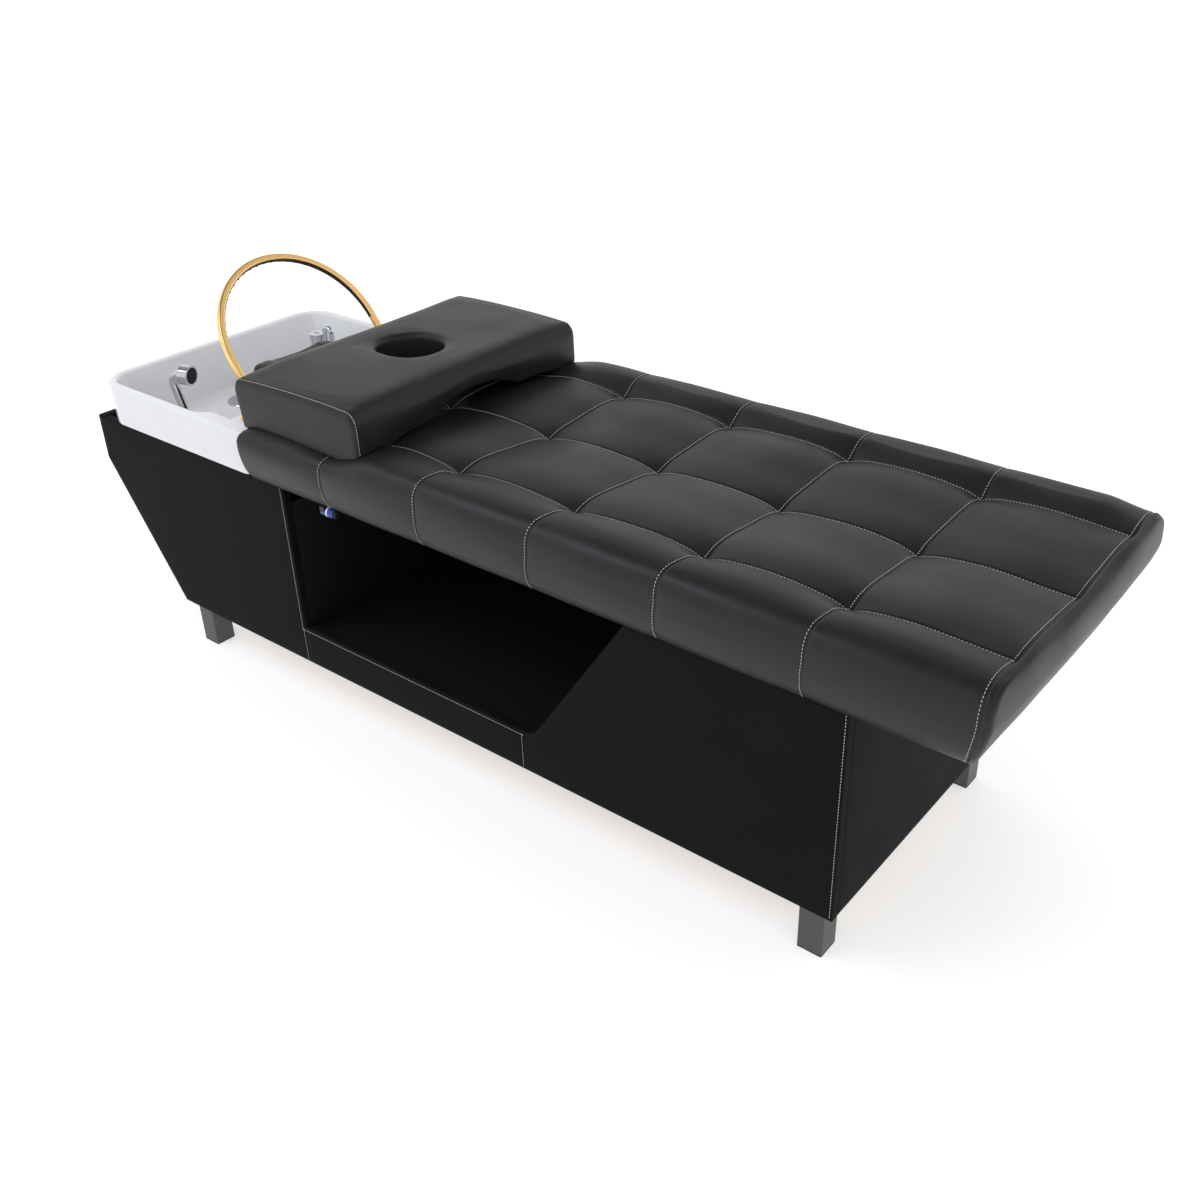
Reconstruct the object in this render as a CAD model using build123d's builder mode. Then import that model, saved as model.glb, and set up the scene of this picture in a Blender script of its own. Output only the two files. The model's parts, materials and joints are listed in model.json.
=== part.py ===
from build123d import *
from math import atan2, cos, hypot, pi, radians, sin
import os

# Lie-down hair washing bed: an upholstered plywood box on four steel legs, with a
# storage opening in one side, a tufted mattress, a loose face-hole pillow, a
# ceramic basin with a neck rest, and a swinging arc that sprays water on the scalp.
# The origin is on the floor under the middle of the bed, +X runs to the foot end,
# -Y to the side with the storage opening, and all lengths are in millimetres.

# Overall
BED_LENGTH = 2258.0
BED_WIDTH = 694.0
FOOT_OVERHANG = 258.0
SIDE_OVERHANG = 27.0
BASE_TOP = 530.0
LEG_HEIGHT = 100.0
OVERRUN = 20.0
SOFT_GAP = 0.5
BASE_LENGTH = BED_LENGTH - FOOT_OVERHANG
BASE_WIDTH = BED_WIDTH - 2 * SIDE_OVERHANG

# Base box
BOARD = 16.0
COVER = 2.0
HEAD_FACE_HEIGHT = 107.0
HEAD_SLANT_RUN = 207.0
HEAD_X = -BED_LENGTH / 2
BASE_FOOT_X = HEAD_X + BASE_LENGTH
BEND_Z = BASE_TOP - HEAD_FACE_HEIGHT
PANEL = BOARD + COVER
INNER_HALF = BASE_WIDTH / 2 - PANEL
FLOOR_TOP = LEG_HEIGHT + BOARD
SLANT_ANGLE = atan2(HEAD_SLANT_RUN, BEND_Z - LEG_HEIGHT)

# Storage opening in the side
NICHE_FROM_HEAD = 665.0
NICHE_FLOOR_LENGTH = 668.0
NICHE_SLANT_RUN = 230.0
NICHE_SILL_HEIGHT = 92.0
NICHE_SILL_LIP = 7.0
NICHE_CORNER_RADIUS = 28.0
NICHE_BACK_BOARD = 8.0
NICHE_HEAD_X = HEAD_X + NICHE_FROM_HEAD
NICHE_CORNER_X = NICHE_HEAD_X + NICHE_FLOOR_LENGTH
NICHE_SILL_Z = LEG_HEIGHT + NICHE_SILL_HEIGHT
NICHE_FLOOR_Z = NICHE_SILL_Z - NICHE_SILL_LIP
NICHE_TOP_X = NICHE_CORNER_X + NICHE_SLANT_RUN
NICHE_SLOPE_SHARE = (NICHE_TOP_X - NICHE_CORNER_X) / (BASE_TOP - NICHE_SILL_Z)
NICHE_BACK_Y = INNER_HALF - NICHE_BACK_BOARD

# Timber under the mattress board
BATTEN = 40.0
BATTEN_Y_SHARE = 0.28125
BATTEN_Y = BATTEN_Y_SHARE * BASE_WIDTH
BATTEN_UNDERSIDE = BASE_TOP - BATTEN
BEARER_WIDTH = 40.0
BEARER_SHARES = [0.08, 0.5, 0.92]

# Legs
LEG_WIDTH = 50.0
LEG_WALL = 2.0
LEG_CORNER_RADIUS = 3.0
LEG_INSET_Y = 7.0
LEG_INSET_FOOT = 18.0
LEG_INSET_HEAD = 35.0
PLATE_WIDTH = 80.0
PLATE = 3.0
GLIDE = 3.0
SCREW_RADIUS = 2.0
SCREW_LENGTH = 16.0
SCREW_HEAD_RADIUS = 4.0
SCREW_HEAD = 2.5
SCREW_INSET = 8.0

# Mattress and its board
MATTRESS_BOARD = 18.0
MATTRESS_BOARD_INSET = 14.0
MATTRESS_TOP = 676.0
MATTRESS_FROM_HEAD = 578.0
MATTRESS_END_LEAN = 48.0
MATTRESS_FOOT_LEAN = 60.0
MATTRESS_SIDE_DRAW = 22.0
MATTRESS_CORNER_RADIUS = 34.0
MATTRESS_EDGE_DROP = 17.0
MATTRESS_EDGE_ROUND = 62.0
CROWN = 4.0
TUFT_PITCH_X = 271.0
TUFT_ROW_SHARE = 0.34
FOOT_SEAM_INSET = 47.0
TUFT_ROWS = 3
TUFT_COLUMNS = 6
CHANNEL_RADIUS = 210.0
CHANNEL_DEPTH = 13.0
SIDE_CHANNEL_RADIUS = 160.0
SIDE_CHANNEL_DEPTH = 6.0
DIMPLE_RADIUS = 95.0
DIMPLE_DEPTH = 23.0
TUFT_PITCH_Y = TUFT_ROW_SHARE * BED_WIDTH
MATTRESS_UNDERSIDE = BASE_TOP + MATTRESS_BOARD
MATTRESS_HEAD_X = HEAD_X + MATTRESS_FROM_HEAD
MATTRESS_FOOT_X = BED_LENGTH / 2
MATTRESS_BELLY_SHARE = 0.55
MATTRESS_BELLY_Z = MATTRESS_UNDERSIDE + MATTRESS_BELLY_SHARE * (MATTRESS_TOP - MATTRESS_UNDERSIDE)
FOOT_SEAM_X = MATTRESS_FOOT_X - FOOT_SEAM_INSET
BOARD_HEAD_X = MATTRESS_HEAD_X + MATTRESS_END_LEAN + SOFT_GAP
BOARD_FOOT_X = MATTRESS_FOOT_X - MATTRESS_FOOT_LEAN - SOFT_GAP
BOARD_HALF_WIDTH = BED_WIDTH / 2 - MATTRESS_SIDE_DRAW - MATTRESS_BOARD_INSET / 2

# Face-hole pillow
PILLOW_LENGTH = 360.0
PILLOW_SIDE_INSET = 27.0
PILLOW_THICKNESS = 86.0
PILLOW_OVERHANG = 10.0
PILLOW_ROUND = 22.0
PILLOW_CROWN = 3.0
PILLOW_SIDE_DRAW = 5.0
FACE_HOLE_LENGTH = 150.0
FACE_HOLE_WIDTH = 130.0
FACE_HOLE_LIP = 10.0
FACE_HOLE_FROM_HEAD = 177.0
TUNNEL_WIDTH = 270.0
TUNNEL_HEIGHT = 34.0
PILLOW_WIDTH = BED_WIDTH - 2 * PILLOW_SIDE_INSET
PILLOW_HEAD_X = MATTRESS_HEAD_X - PILLOW_OVERHANG
PILLOW_FOOT_X = PILLOW_HEAD_X + PILLOW_LENGTH
PILLOW_UNDERSIDE = MATTRESS_TOP + SOFT_GAP
PILLOW_TOP = PILLOW_UNDERSIDE + PILLOW_THICKNESS
FACE_HOLE_X = PILLOW_HEAD_X + FACE_HOLE_FROM_HEAD

# Basin
BASIN_HEAD_GAP = 26.0
BASIN_MATTRESS_GAP = 7.0
BASIN_SIDE_OVERHANG = 2.0
BASIN_APRON = 96.0
BASIN_FLARE = 2.0
BASIN_WALL = 18.0
BASIN_DEPTH = 134.0
BASIN_FLOOR = 10.0
BASIN_BODY_GAP = 4.0
BASIN_BODY_HEAD_SET = 15.0
BASIN_BODY_FOOT_SET = 22.0
BASIN_CORNER_RADIUS = 75.0
BASIN_FOOT_CORNER_RADIUS = 30.0
BOWL_DRAFT_X = 13.0
BOWL_DRAFT_Y = 22.0
BOWL_FOOT_DRAFT = 29.0
BOWL_CORNER_RADIUS = 58.0
BOWL_FLOOR_FILLET = 24.0
SHELF_WIDTH = 140.0
SHELF_DROP = 30.0
SHELF = 12.0
SHELF_CORNER_RADIUS = 20.0
POCKET_WALL = 14.0
RIM_FILLET = 7.0
RIM_Z = BASE_TOP + BASIN_APRON
BASIN_RIM_WIDTH = BASE_WIDTH + 2 * BASIN_SIDE_OVERHANG
BASIN_HEAD_X = HEAD_X + BASIN_HEAD_GAP
BASIN_FOOT_X = MATTRESS_HEAD_X - BASIN_MATTRESS_GAP
BOWL_FLOOR_Z = RIM_Z - BASIN_DEPTH
BASIN_UNDERSIDE = BOWL_FLOOR_Z - BASIN_FLOOR
SHELF_Z = RIM_Z - SHELF_DROP
SHELF_FOOT_X = BASIN_FOOT_X - BASIN_WALL
SHELF_HEAD_X = SHELF_FOOT_X - SHELF_WIDTH
BODY_HEAD_X = BASIN_HEAD_X + BASIN_FLARE + BASIN_BODY_HEAD_SET
BODY_FOOT_X = BASIN_FOOT_X - BASIN_BODY_FOOT_SET
BODY_HALF_WIDTH = INNER_HALF - BASIN_BODY_GAP
BULKHEAD_HEAD_X = BODY_FOOT_X + BASIN_BODY_GAP / 2

# Drain
DRAIN_FROM_HEAD = 100.0
DRAIN_LIP_RADIUS = 46.0
DRAIN_LIP = 3.0
DRAIN_THROAT_RADIUS = 30.0
DRAIN_WALL = 3.0
DRAIN_CLEARANCE = 0.5
DRAIN_THROAT_LENGTH = 26.0
STRAINER_RADIUS = 33.0
STRAINER = 2.5
STRAINER_GAP = 0.3
STRAINER_HOLE_RADIUS = 2.6
STRAINER_RING_SHARES = [0.33, 0.66]
STRAINER_RING_COUNTS = [6, 12]
DRAIN_NUT_RADIUS = 42.0
DRAIN_NUT = 8.0
DRAIN_X = BASIN_HEAD_X + DRAIN_FROM_HEAD
DRAIN_THROAT_END = BOWL_FLOOR_Z - DRAIN_THROAT_LENGTH

# Waste pipes and trap
WASTE_RADIUS = 20.0
WASTE_WALL = 2.0
WASTE_BEND = 42.0
WASTE_DROP = 34.0
TRAP_RADIUS = 34.0
TRAP_HEIGHT = 110.0
TRAP_FROM_DRAIN = 160.0
TRAP_WALL = 3.0
TRAP_INLET_SHARE = 0.78
OUTLET_RUN = 60.0
OUTLET_END_Z = 62.0
OUTLET_CUFF_LENGTH = 30.0
WASTE_CLEARANCE = 1.0

# Hand shower in its socket
FITTING_FROM_SIDE = 120.0
SHOWER_FROM_HEAD = 161.0
SHOWER_LEAN = 20.0
SHOWER_TURN = 20.0
SHOWER_HANDLE_RADIUS = 10.0
SHOWER_HANDLE_LENGTH = 116.0
SHOWER_BEND = 20.0
SHOWER_HEAD_RADIUS = 23.0
SHOWER_HEAD_LENGTH = 32.0
SHOWER_FACE = 4.0
SHOWER_FACE_INSET = 4.0
SHOWER_NOZZLE_RADIUS = 1.3
SHOWER_NOZZLE = 1.6
SHOWER_NOZZLE_SHARES = [0.35, 0.75]
SHOWER_NOZZLE_COUNTS = [6, 12]
SOCKET_RADIUS = 16.0
SOCKET_HEIGHT = 26.0
SOCKET_FLANGE_RADIUS = 24.0
SOCKET_FLANGE = 4.0
SOCKET_CLEARANCE = 0.4
SOCKET_SEAT = 12.0
SHANK_RADIUS = 12.0
SHANK_LENGTH = 34.0
SHANK_CLEARANCE = 0.5
NUT_RADIUS = 20.0
NUT = 8.0
FITTING_Y = BASE_WIDTH / 2 - FITTING_FROM_SIDE
SOCKET_X = BASIN_HEAD_X + SHOWER_FROM_HEAD

# Mixer tap
MIXER_FROM_HEAD = 153.0
MIXER_RADIUS = 18.0
MIXER_HEIGHT = 115.0
MIXER_FLANGE_RADIUS = 24.0
MIXER_FLANGE = 4.0
KNOB_RADIUS = 20.0
KNOB = 11.0
KNOB_GAP = 0.3
KNOB_STEM_RADIUS = 5.0
KNOB_STEM = 8.0
KNOB_STEM_CLEARANCE = 0.05
KNOB_SLOT_LENGTH = 22.0
KNOB_SLOT_WIDTH = 6.0
KNOB_SLOT_DEPTH = 2.0
SPOUT_RADIUS = 6.5
SPOUT_WALL = 1.5
SPOUT_ROOT_HEIGHT = 66.0
SPOUT_REACH = 32.0
SPOUT_ELBOW = 12.0
SPOUT_BEND = 12.0
SPOUT_TOP_HEIGHT = 136.0
SPOUT_MOUTH_HEIGHT = 108.0
INLET_RADIUS = 5.0
INLET_PITCH = 12.0
INLET_LENGTH = 46.0
INLET_SEAT = 6.0
MIXER_X = BASIN_HEAD_X + MIXER_FROM_HEAD

# Water arc
ARC_FROM_SIDE = 120.0
ARC_LEG = 70.0
ARC_TILT = 36.6
ARC_RADIAL = 14.0
ARC_ACROSS = 16.0
ARC_CORNER_RADIUS = 3.5
ARC_WALL = 1.5
ARC_PIVOT_HEIGHT = 53.0
ARC_FROM_SHELF_EDGE = 26.0
KNUCKLE_RADIUS = 10.0
KNUCKLE_LENGTH = 20.0
KNUCKLE_NECK = 14.0
PIVOT_PIN_RADIUS = 4.0
PIVOT_CLEARANCE = 0.05
PIVOT_SIDE_GAP = 0.3
POST_RADIUS = 8.0
POST_HEAD_LENGTH = 18.0
POST_FLANGE_RADIUS = 15.0
POST_FLANGE = 4.0
POST_SHANK_RADIUS = 6.0
POST_SHANK_LENGTH = 24.0
POST_NUT_RADIUS = 11.0
STRIP_WIDTH = 8.0
STRIP = 1.5
NOZZLE_RADIUS = 1.6
NOZZLE = 2.0
NOZZLE_COUNT = 25
NOZZLE_ARC_ANGLE = 150.0
ARC_RADIUS = BASE_WIDTH / 2 - ARC_FROM_SIDE
ARC_X = SHELF_HEAD_X + ARC_FROM_SHELF_EDGE
ARC_Z = SHELF_Z + ARC_PIVOT_HEIGHT

# Neck rest
NECK_BOARD = 12.0
NECK_WIDTH = 226.0
NECK_LENGTH = 224.0
NECK_THICKNESS = 47.0
NECK_ROUND = 16.0
NECK_SADDLE_RADIUS = 420.0
NECK_SADDLE_DEPTH = 7.0
NECK_WALL_GAP = 4.0
NECK_BOARD_INSET = 6.0
NECK_FOOT_X = SHELF_FOOT_X - NECK_WALL_GAP
NECK_HEAD_X = NECK_FOOT_X - NECK_LENGTH
NECK_Z = SHELF_Z + NECK_BOARD

# Circulation pump and its switch
PUMP_X_SHARE = 0.5
PUMP_Y = 120.0
PUMP_RADIUS = 36.0
PUMP_LENGTH = 110.0
VOLUTE_RADIUS = 46.0
VOLUTE_LENGTH = 34.0
PORT_RADIUS = 9.0
PORT_WALL = 1.5
PORT_LENGTH = 30.0
PUMP_FOOT_WIDTH = 90.0
PUMP_FOOT = 4.0
SWITCH_FROM_NICHE = 126.0
SWITCH_LENGTH = 36.0
SWITCH_RADIUS = 10.0
SWITCH_BAND = 5.0
SWITCH_BAND_LIFT = 0.6
SWITCH_BUTTON_RADIUS = 8.0
SWITCH_BUTTON = 9.0
SWITCH_BUTTON_ROOT = 4.0
SWITCH_TRAVEL = 2.5
SWITCH_CLEARANCE = 0.3
SWITCH_BRACKET = 2.0
SWITCH_Y = BOARD_HALF_WIDTH

os.makedirs("parts", exist_ok=True)


def save(piece, name):
    """Label a finished piece and write its STEP file."""
    piece.part.label = name
    export_step(piece.part, f"parts/{name}.step")


def side_plane(y):
    """An upright plane across Y whose sketch axes are X and Z; it faces -Y."""
    return Plane(origin=(0, y, 0), x_dir=(1, 0, 0), z_dir=(0, -1, 0))


def span_y(low, high, outline):
    """A solid with an XZ outline of straight lines that runs along Y from low to high."""
    with BuildSketch(side_plane(low)) as face:
        with BuildLine():
            Polyline(*outline, close=True)
        make_face()
    extrude(face.sketch, amount=low - high)


def block(x_range, y_range, z_range, mode=Mode.ADD):
    """A box between two X, two Y and two Z values."""
    sizes = [high - low for low, high in (x_range, y_range, z_range)]
    middle = [(low + high) / 2 for low, high in (x_range, y_range, z_range)]
    with Locations(tuple(middle)):
        Box(*sizes, mode=mode)


def post(x, y, z_low, z_high, radius, mode=Mode.ADD):
    """An upright cylinder between two heights."""
    with Locations((x, y, z_low)):
        Cylinder(radius, z_high - z_low, align=(Align.CENTER, Align.CENTER, Align.MIN), mode=mode)


def niche_x(z):
    """X of the storage opening's slanted edge at a height."""
    return NICHE_CORNER_X + NICHE_SLOPE_SHARE * (z - NICHE_SILL_Z)


def head_line(depth):
    """The head end's outline, set in from its face: top, bend and bottom points."""
    bend_rise = depth * (1 - cos(SLANT_ANGLE)) / sin(SLANT_ANGLE)
    foot_x = HEAD_X + HEAD_SLANT_RUN + depth / cos(SLANT_ANGLE)
    return [
        (HEAD_X + depth, BASE_TOP),
        (HEAD_X + depth, BEND_Z + bend_rise),
        (foot_x, LEG_HEIGHT),
    ]


def slant_x(z, depth):
    """X of the slanted head face, set in by a depth, at a height."""
    low = head_line(depth)[2]
    return low[0] - (z - low[1]) * HEAD_SLANT_RUN / (BEND_Z - LEG_HEIGHT)


def plain_side():
    """The whole side of the base seen from -Y."""
    with BuildSketch() as face:
        with BuildLine():
            Polyline(*head_line(0), (BASE_FOOT_X, LEG_HEIGHT), (BASE_FOOT_X, BASE_TOP), close=True)
        make_face()
    return face.sketch


def open_side():
    """The side of the base seen from -Y, with the storage opening cut down from its top."""
    corner = (NICHE_CORNER_X, NICHE_SILL_Z)
    slant = (NICHE_SLANT_RUN, BASE_TOP - NICHE_SILL_Z)
    reach = NICHE_CORNER_RADIUS / hypot(*slant)
    on_slant = (corner[0] + slant[0] * reach, corner[1] + slant[1] * reach)
    on_sill = (corner[0] - NICHE_CORNER_RADIUS, corner[1])
    with BuildSketch() as face:
        with BuildLine():
            Polyline(on_sill, (NICHE_HEAD_X, NICHE_SILL_Z), (NICHE_HEAD_X, BASE_TOP), *head_line(0),
                     (BASE_FOOT_X, LEG_HEIGHT), (BASE_FOOT_X, BASE_TOP), (NICHE_TOP_X, BASE_TOP),
                     on_slant)
            TangentArc(on_slant, on_sill, tangent=(-slant[0], -slant[1]))
        make_face()
    return face.sketch


def side_panel(name, face, outer_y, inward):
    """A side board and the leather stretched over its face and turned over its edges."""
    back_y = outer_y + inward * PANEL
    skin_y = outer_y + inward * COVER
    with BuildPart() as board:
        with BuildSketch(side_plane(max(back_y, skin_y))):
            add(face)
            offset(amount=-COVER, kind=Kind.INTERSECTION, mode=Mode.REPLACE)
        extrude(amount=BOARD)
    save(board, f"{name}_side_board")
    with BuildPart() as cover:
        with BuildSketch(side_plane(max(back_y, outer_y))):
            add(face)
        extrude(amount=PANEL)
        with BuildSketch(side_plane(max(back_y, skin_y))):
            add(face)
            offset(amount=-COVER, kind=Kind.INTERSECTION, mode=Mode.REPLACE)
        extrude(amount=BOARD, mode=Mode.SUBTRACT)
    save(cover, f"{name}_side_cover")


def head_end():
    """Upper board, slanted board and the cover that wraps them at the head end."""
    face_top, face_bend, face_foot = head_line(0)
    skin_top, skin_bend, skin_foot = head_line(COVER)
    back_top, back_bend, back_foot = head_line(PANEL)
    lip_z = BASE_TOP - COVER
    with BuildPart() as cover:
        span_y(-INNER_HALF, INNER_HALF, [
            (back_top[0], BASE_TOP), face_top, face_bend, face_foot,
            skin_foot, skin_bend, (skin_top[0], lip_z), (back_top[0], lip_z)])
    save(cover, "head_end_cover")
    with BuildPart() as upper:
        span_y(-INNER_HALF, INNER_HALF, [
            (skin_top[0], lip_z), skin_bend, back_bend, (back_top[0], lip_z)])
    save(upper, "head_end_board")
    with BuildPart() as slanted:
        span_y(-INNER_HALF, INNER_HALF, [skin_bend, skin_foot, back_foot, back_bend])
    save(slanted, "head_slanted_board")


def foot_end():
    """Foot board with its cover, and the cleat that carries the battens."""
    board_x = BASE_FOOT_X - PANEL
    lip_z = BASE_TOP - COVER
    with BuildPart() as cover:
        span_y(-INNER_HALF, INNER_HALF, [
            (board_x, BASE_TOP), (BASE_FOOT_X, BASE_TOP), (BASE_FOOT_X, LEG_HEIGHT),
            (BASE_FOOT_X - COVER, LEG_HEIGHT), (BASE_FOOT_X - COVER, lip_z), (board_x, lip_z)])
    save(cover, "foot_end_cover")
    with BuildPart() as board:
        block((board_x, BASE_FOOT_X - COVER), (-INNER_HALF, INNER_HALF), (LEG_HEIGHT, lip_z))
    save(board, "foot_end_board")
    with BuildPart() as cleat:
        block((board_x - BATTEN, board_x), (-INNER_HALF, INNER_HALF),
              (BATTEN_UNDERSIDE - BATTEN, BATTEN_UNDERSIDE))
    save(cleat, "foot_cleat")


def leg_places():
    """Outer corner of each leg with the directions that point into the bed."""
    half = BASE_WIDTH / 2 - LEG_INSET_Y
    head_x = HEAD_X + HEAD_SLANT_RUN + LEG_INSET_HEAD
    foot_x = BASE_FOOT_X - LEG_INSET_FOOT
    return {
        "near_head": (head_x, -half, 1, 1),
        "far_head": (head_x, half, 1, -1),
        "near_foot": (foot_x, -half, -1, 1),
        "far_foot": (foot_x, half, -1, -1),
    }


def screw_places():
    """Centres of the screws through the parts of the leg plates inside the bed."""
    near_edge = LEG_WIDTH + SCREW_INSET
    far_edge = PLATE_WIDTH - SCREW_INSET
    places = []
    for x, y, into_x, into_y in leg_places().values():
        for along, across in ((SCREW_INSET, near_edge), (far_edge, near_edge),
                              (far_edge, LEG_WIDTH / 2), (far_edge, far_edge)):
            places.append((x + into_x * along, y + into_y * across))
    return places


def ordered(start, step):
    """A low and a high value from a start and a signed step."""
    return (min(start, start + step), max(start, start + step))


def legs():
    """Square steel legs with their plates, glides and screws."""
    for name, (x, y, into_x, into_y) in leg_places().items():
        centre = (x + into_x * LEG_WIDTH / 2, y + into_y * LEG_WIDTH / 2)
        with BuildPart() as leg:
            with BuildSketch(Plane.XY.offset(GLIDE)):
                with Locations(centre):
                    RectangleRounded(LEG_WIDTH, LEG_WIDTH, LEG_CORNER_RADIUS)
                    Rectangle(LEG_WIDTH - 2 * LEG_WALL, LEG_WIDTH - 2 * LEG_WALL, mode=Mode.SUBTRACT)
            extrude(amount=LEG_HEIGHT - PLATE - GLIDE)
        save(leg, f"leg_{name}")
    with BuildPart() as glides:
        for x, y, into_x, into_y in leg_places().values():
            with BuildSketch(Plane.XY):
                with Locations((x + into_x * LEG_WIDTH / 2, y + into_y * LEG_WIDTH / 2)):
                    RectangleRounded(LEG_WIDTH, LEG_WIDTH, LEG_CORNER_RADIUS)
            extrude(amount=GLIDE)
    save(glides, "leg_glides")
    with BuildPart() as plates:
        for x, y, into_x, into_y in leg_places().values():
            block(ordered(x, into_x * PLATE_WIDTH), ordered(y, into_y * PLATE_WIDTH),
                  (LEG_HEIGHT - PLATE, LEG_HEIGHT))
        for x, y in screw_places():
            post(x, y, LEG_HEIGHT - PLATE, LEG_HEIGHT, SCREW_RADIUS, mode=Mode.SUBTRACT)
    save(plates, "leg_plates")
    with BuildPart() as screws:
        head_z = LEG_HEIGHT - PLATE
        for x, y in screw_places():
            post(x, y, head_z - SCREW_HEAD, head_z, SCREW_HEAD_RADIUS)
            post(x, y, head_z, head_z + SCREW_LENGTH, SCREW_RADIUS)
    save(screws, "leg_screws")


def base_floor():
    """Floor board of the base, with the waste pipe's hole."""
    foot_x = BASE_FOOT_X - PANEL
    with BuildPart() as board:
        span_y(-INNER_HALF, INNER_HALF, [
            (slant_x(LEG_HEIGHT, PANEL), LEG_HEIGHT), (foot_x, LEG_HEIGHT),
            (foot_x, FLOOR_TOP), (slant_x(FLOOR_TOP, PANEL), FLOOR_TOP)])
        post(outlet_x(), 0, LEG_HEIGHT, FLOOR_TOP, WASTE_RADIUS + WASTE_CLEARANCE, mode=Mode.SUBTRACT)
        for x, y in screw_places():
            post(x, y, LEG_HEIGHT, LEG_HEIGHT - PLATE + SCREW_LENGTH, SCREW_RADIUS, mode=Mode.SUBTRACT)
    save(board, "base_floor")


def partitions():
    """Upright boards: basin bulkhead and the storage space's walls, back and floor."""
    with BuildPart() as bulkhead:
        block((BULKHEAD_HEAD_X, BULKHEAD_HEAD_X + BOARD), (-INNER_HALF, INNER_HALF),
              (FLOOR_TOP, BASE_TOP))
    save(bulkhead, "basin_bulkhead")
    with BuildPart() as head_wall:
        block((NICHE_HEAD_X - BOARD, NICHE_HEAD_X), (-INNER_HALF, INNER_HALF),
              (FLOOR_TOP, BATTEN_UNDERSIDE))
    save(head_wall, "niche_head_wall")
    wall_run = BOARD * hypot(NICHE_SLOPE_SHARE, 1)
    foot_x = niche_x(NICHE_FLOOR_Z)
    top_x = niche_x(BATTEN_UNDERSIDE)
    with BuildPart() as foot_wall:
        span_y(-INNER_HALF, NICHE_BACK_Y, [
            (foot_x, NICHE_FLOOR_Z), (foot_x + wall_run, NICHE_FLOOR_Z),
            (top_x + wall_run, BATTEN_UNDERSIDE), (top_x, BATTEN_UNDERSIDE)])
    save(foot_wall, "niche_foot_wall")
    floor_end = foot_x + wall_run + BOARD
    with BuildPart() as floor:
        block((NICHE_HEAD_X, floor_end), (-INNER_HALF, NICHE_BACK_Y),
              (NICHE_FLOOR_Z - BOARD, NICHE_FLOOR_Z))
    save(floor, "niche_floor")
    with BuildPart() as back:
        block((NICHE_HEAD_X, top_x + wall_run), (NICHE_BACK_Y, INNER_HALF),
              (FLOOR_TOP, BATTEN_UNDERSIDE))
    save(back, "niche_back")
    with BuildPart() as bearers:
        for share in BEARER_SHARES:
            x = NICHE_HEAD_X + share * (floor_end - NICHE_HEAD_X)
            block((x - BEARER_WIDTH / 2, x + BEARER_WIDTH / 2), (-INNER_HALF, NICHE_BACK_Y),
                  (FLOOR_TOP, NICHE_FLOOR_Z - BOARD))
    save(bearers, "niche_bearers")


def battens():
    """Two long battens that carry the mattress board over the storage space."""
    with BuildPart() as pair:
        for side in (-1, 1):
            block((NICHE_HEAD_X - BOARD, BASE_FOOT_X - PANEL),
                  (side * BATTEN_Y - BATTEN / 2, side * BATTEN_Y + BATTEN / 2),
                  (BATTEN_UNDERSIDE, BASE_TOP))
    save(pair, "deck_battens")


def tuft_columns():
    """X of each cross seam of the mattress."""
    return [FOOT_SEAM_X - column * TUFT_PITCH_X for column in range(TUFT_COLUMNS)]


def tuft_rows():
    """Y of each lengthwise seam of the mattress."""
    middle = (TUFT_ROWS - 1) / 2
    return [(row - middle) * TUFT_PITCH_Y for row in range(TUFT_ROWS)]


def mattress_board():
    """Plywood board under the mattress."""
    with BuildPart() as board:
        block((BOARD_HEAD_X, BOARD_FOOT_X), (-BOARD_HALF_WIDTH, BOARD_HALF_WIDTH),
              (BASE_TOP, MATTRESS_UNDERSIDE))
    save(board, "mattress_board")


def mattress_section():
    """Crowned cross section of the mattress with bellied sides."""
    half = BED_WIDTH / 2
    low_y = half - MATTRESS_SIDE_DRAW
    shoulder_y = half - MATTRESS_EDGE_ROUND
    shoulder_z = MATTRESS_TOP - CROWN
    edge = (half, MATTRESS_BELLY_Z)
    upper = (half - MATTRESS_EDGE_DROP, (MATTRESS_BELLY_Z + shoulder_z) / 2 + MATTRESS_EDGE_DROP / 2)
    lower = (half - MATTRESS_SIDE_DRAW / 4, (MATTRESS_UNDERSIDE + MATTRESS_BELLY_Z) / 2)
    with BuildSketch() as face:
        with BuildLine():
            Line((-low_y, MATTRESS_UNDERSIDE), (low_y, MATTRESS_UNDERSIDE))
            ThreePointArc((low_y, MATTRESS_UNDERSIDE), lower, edge)
            ThreePointArc(edge, upper, (shoulder_y, shoulder_z))
            ThreePointArc((shoulder_y, shoulder_z), (0, MATTRESS_TOP), (-shoulder_y, shoulder_z))
            ThreePointArc((-shoulder_y, shoulder_z), (-upper[0], upper[1]), (-edge[0], edge[1]))
            ThreePointArc((-edge[0], edge[1]), (-lower[0], lower[1]), (-low_y, MATTRESS_UNDERSIDE))
        make_face()
    return face.sketch


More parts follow.
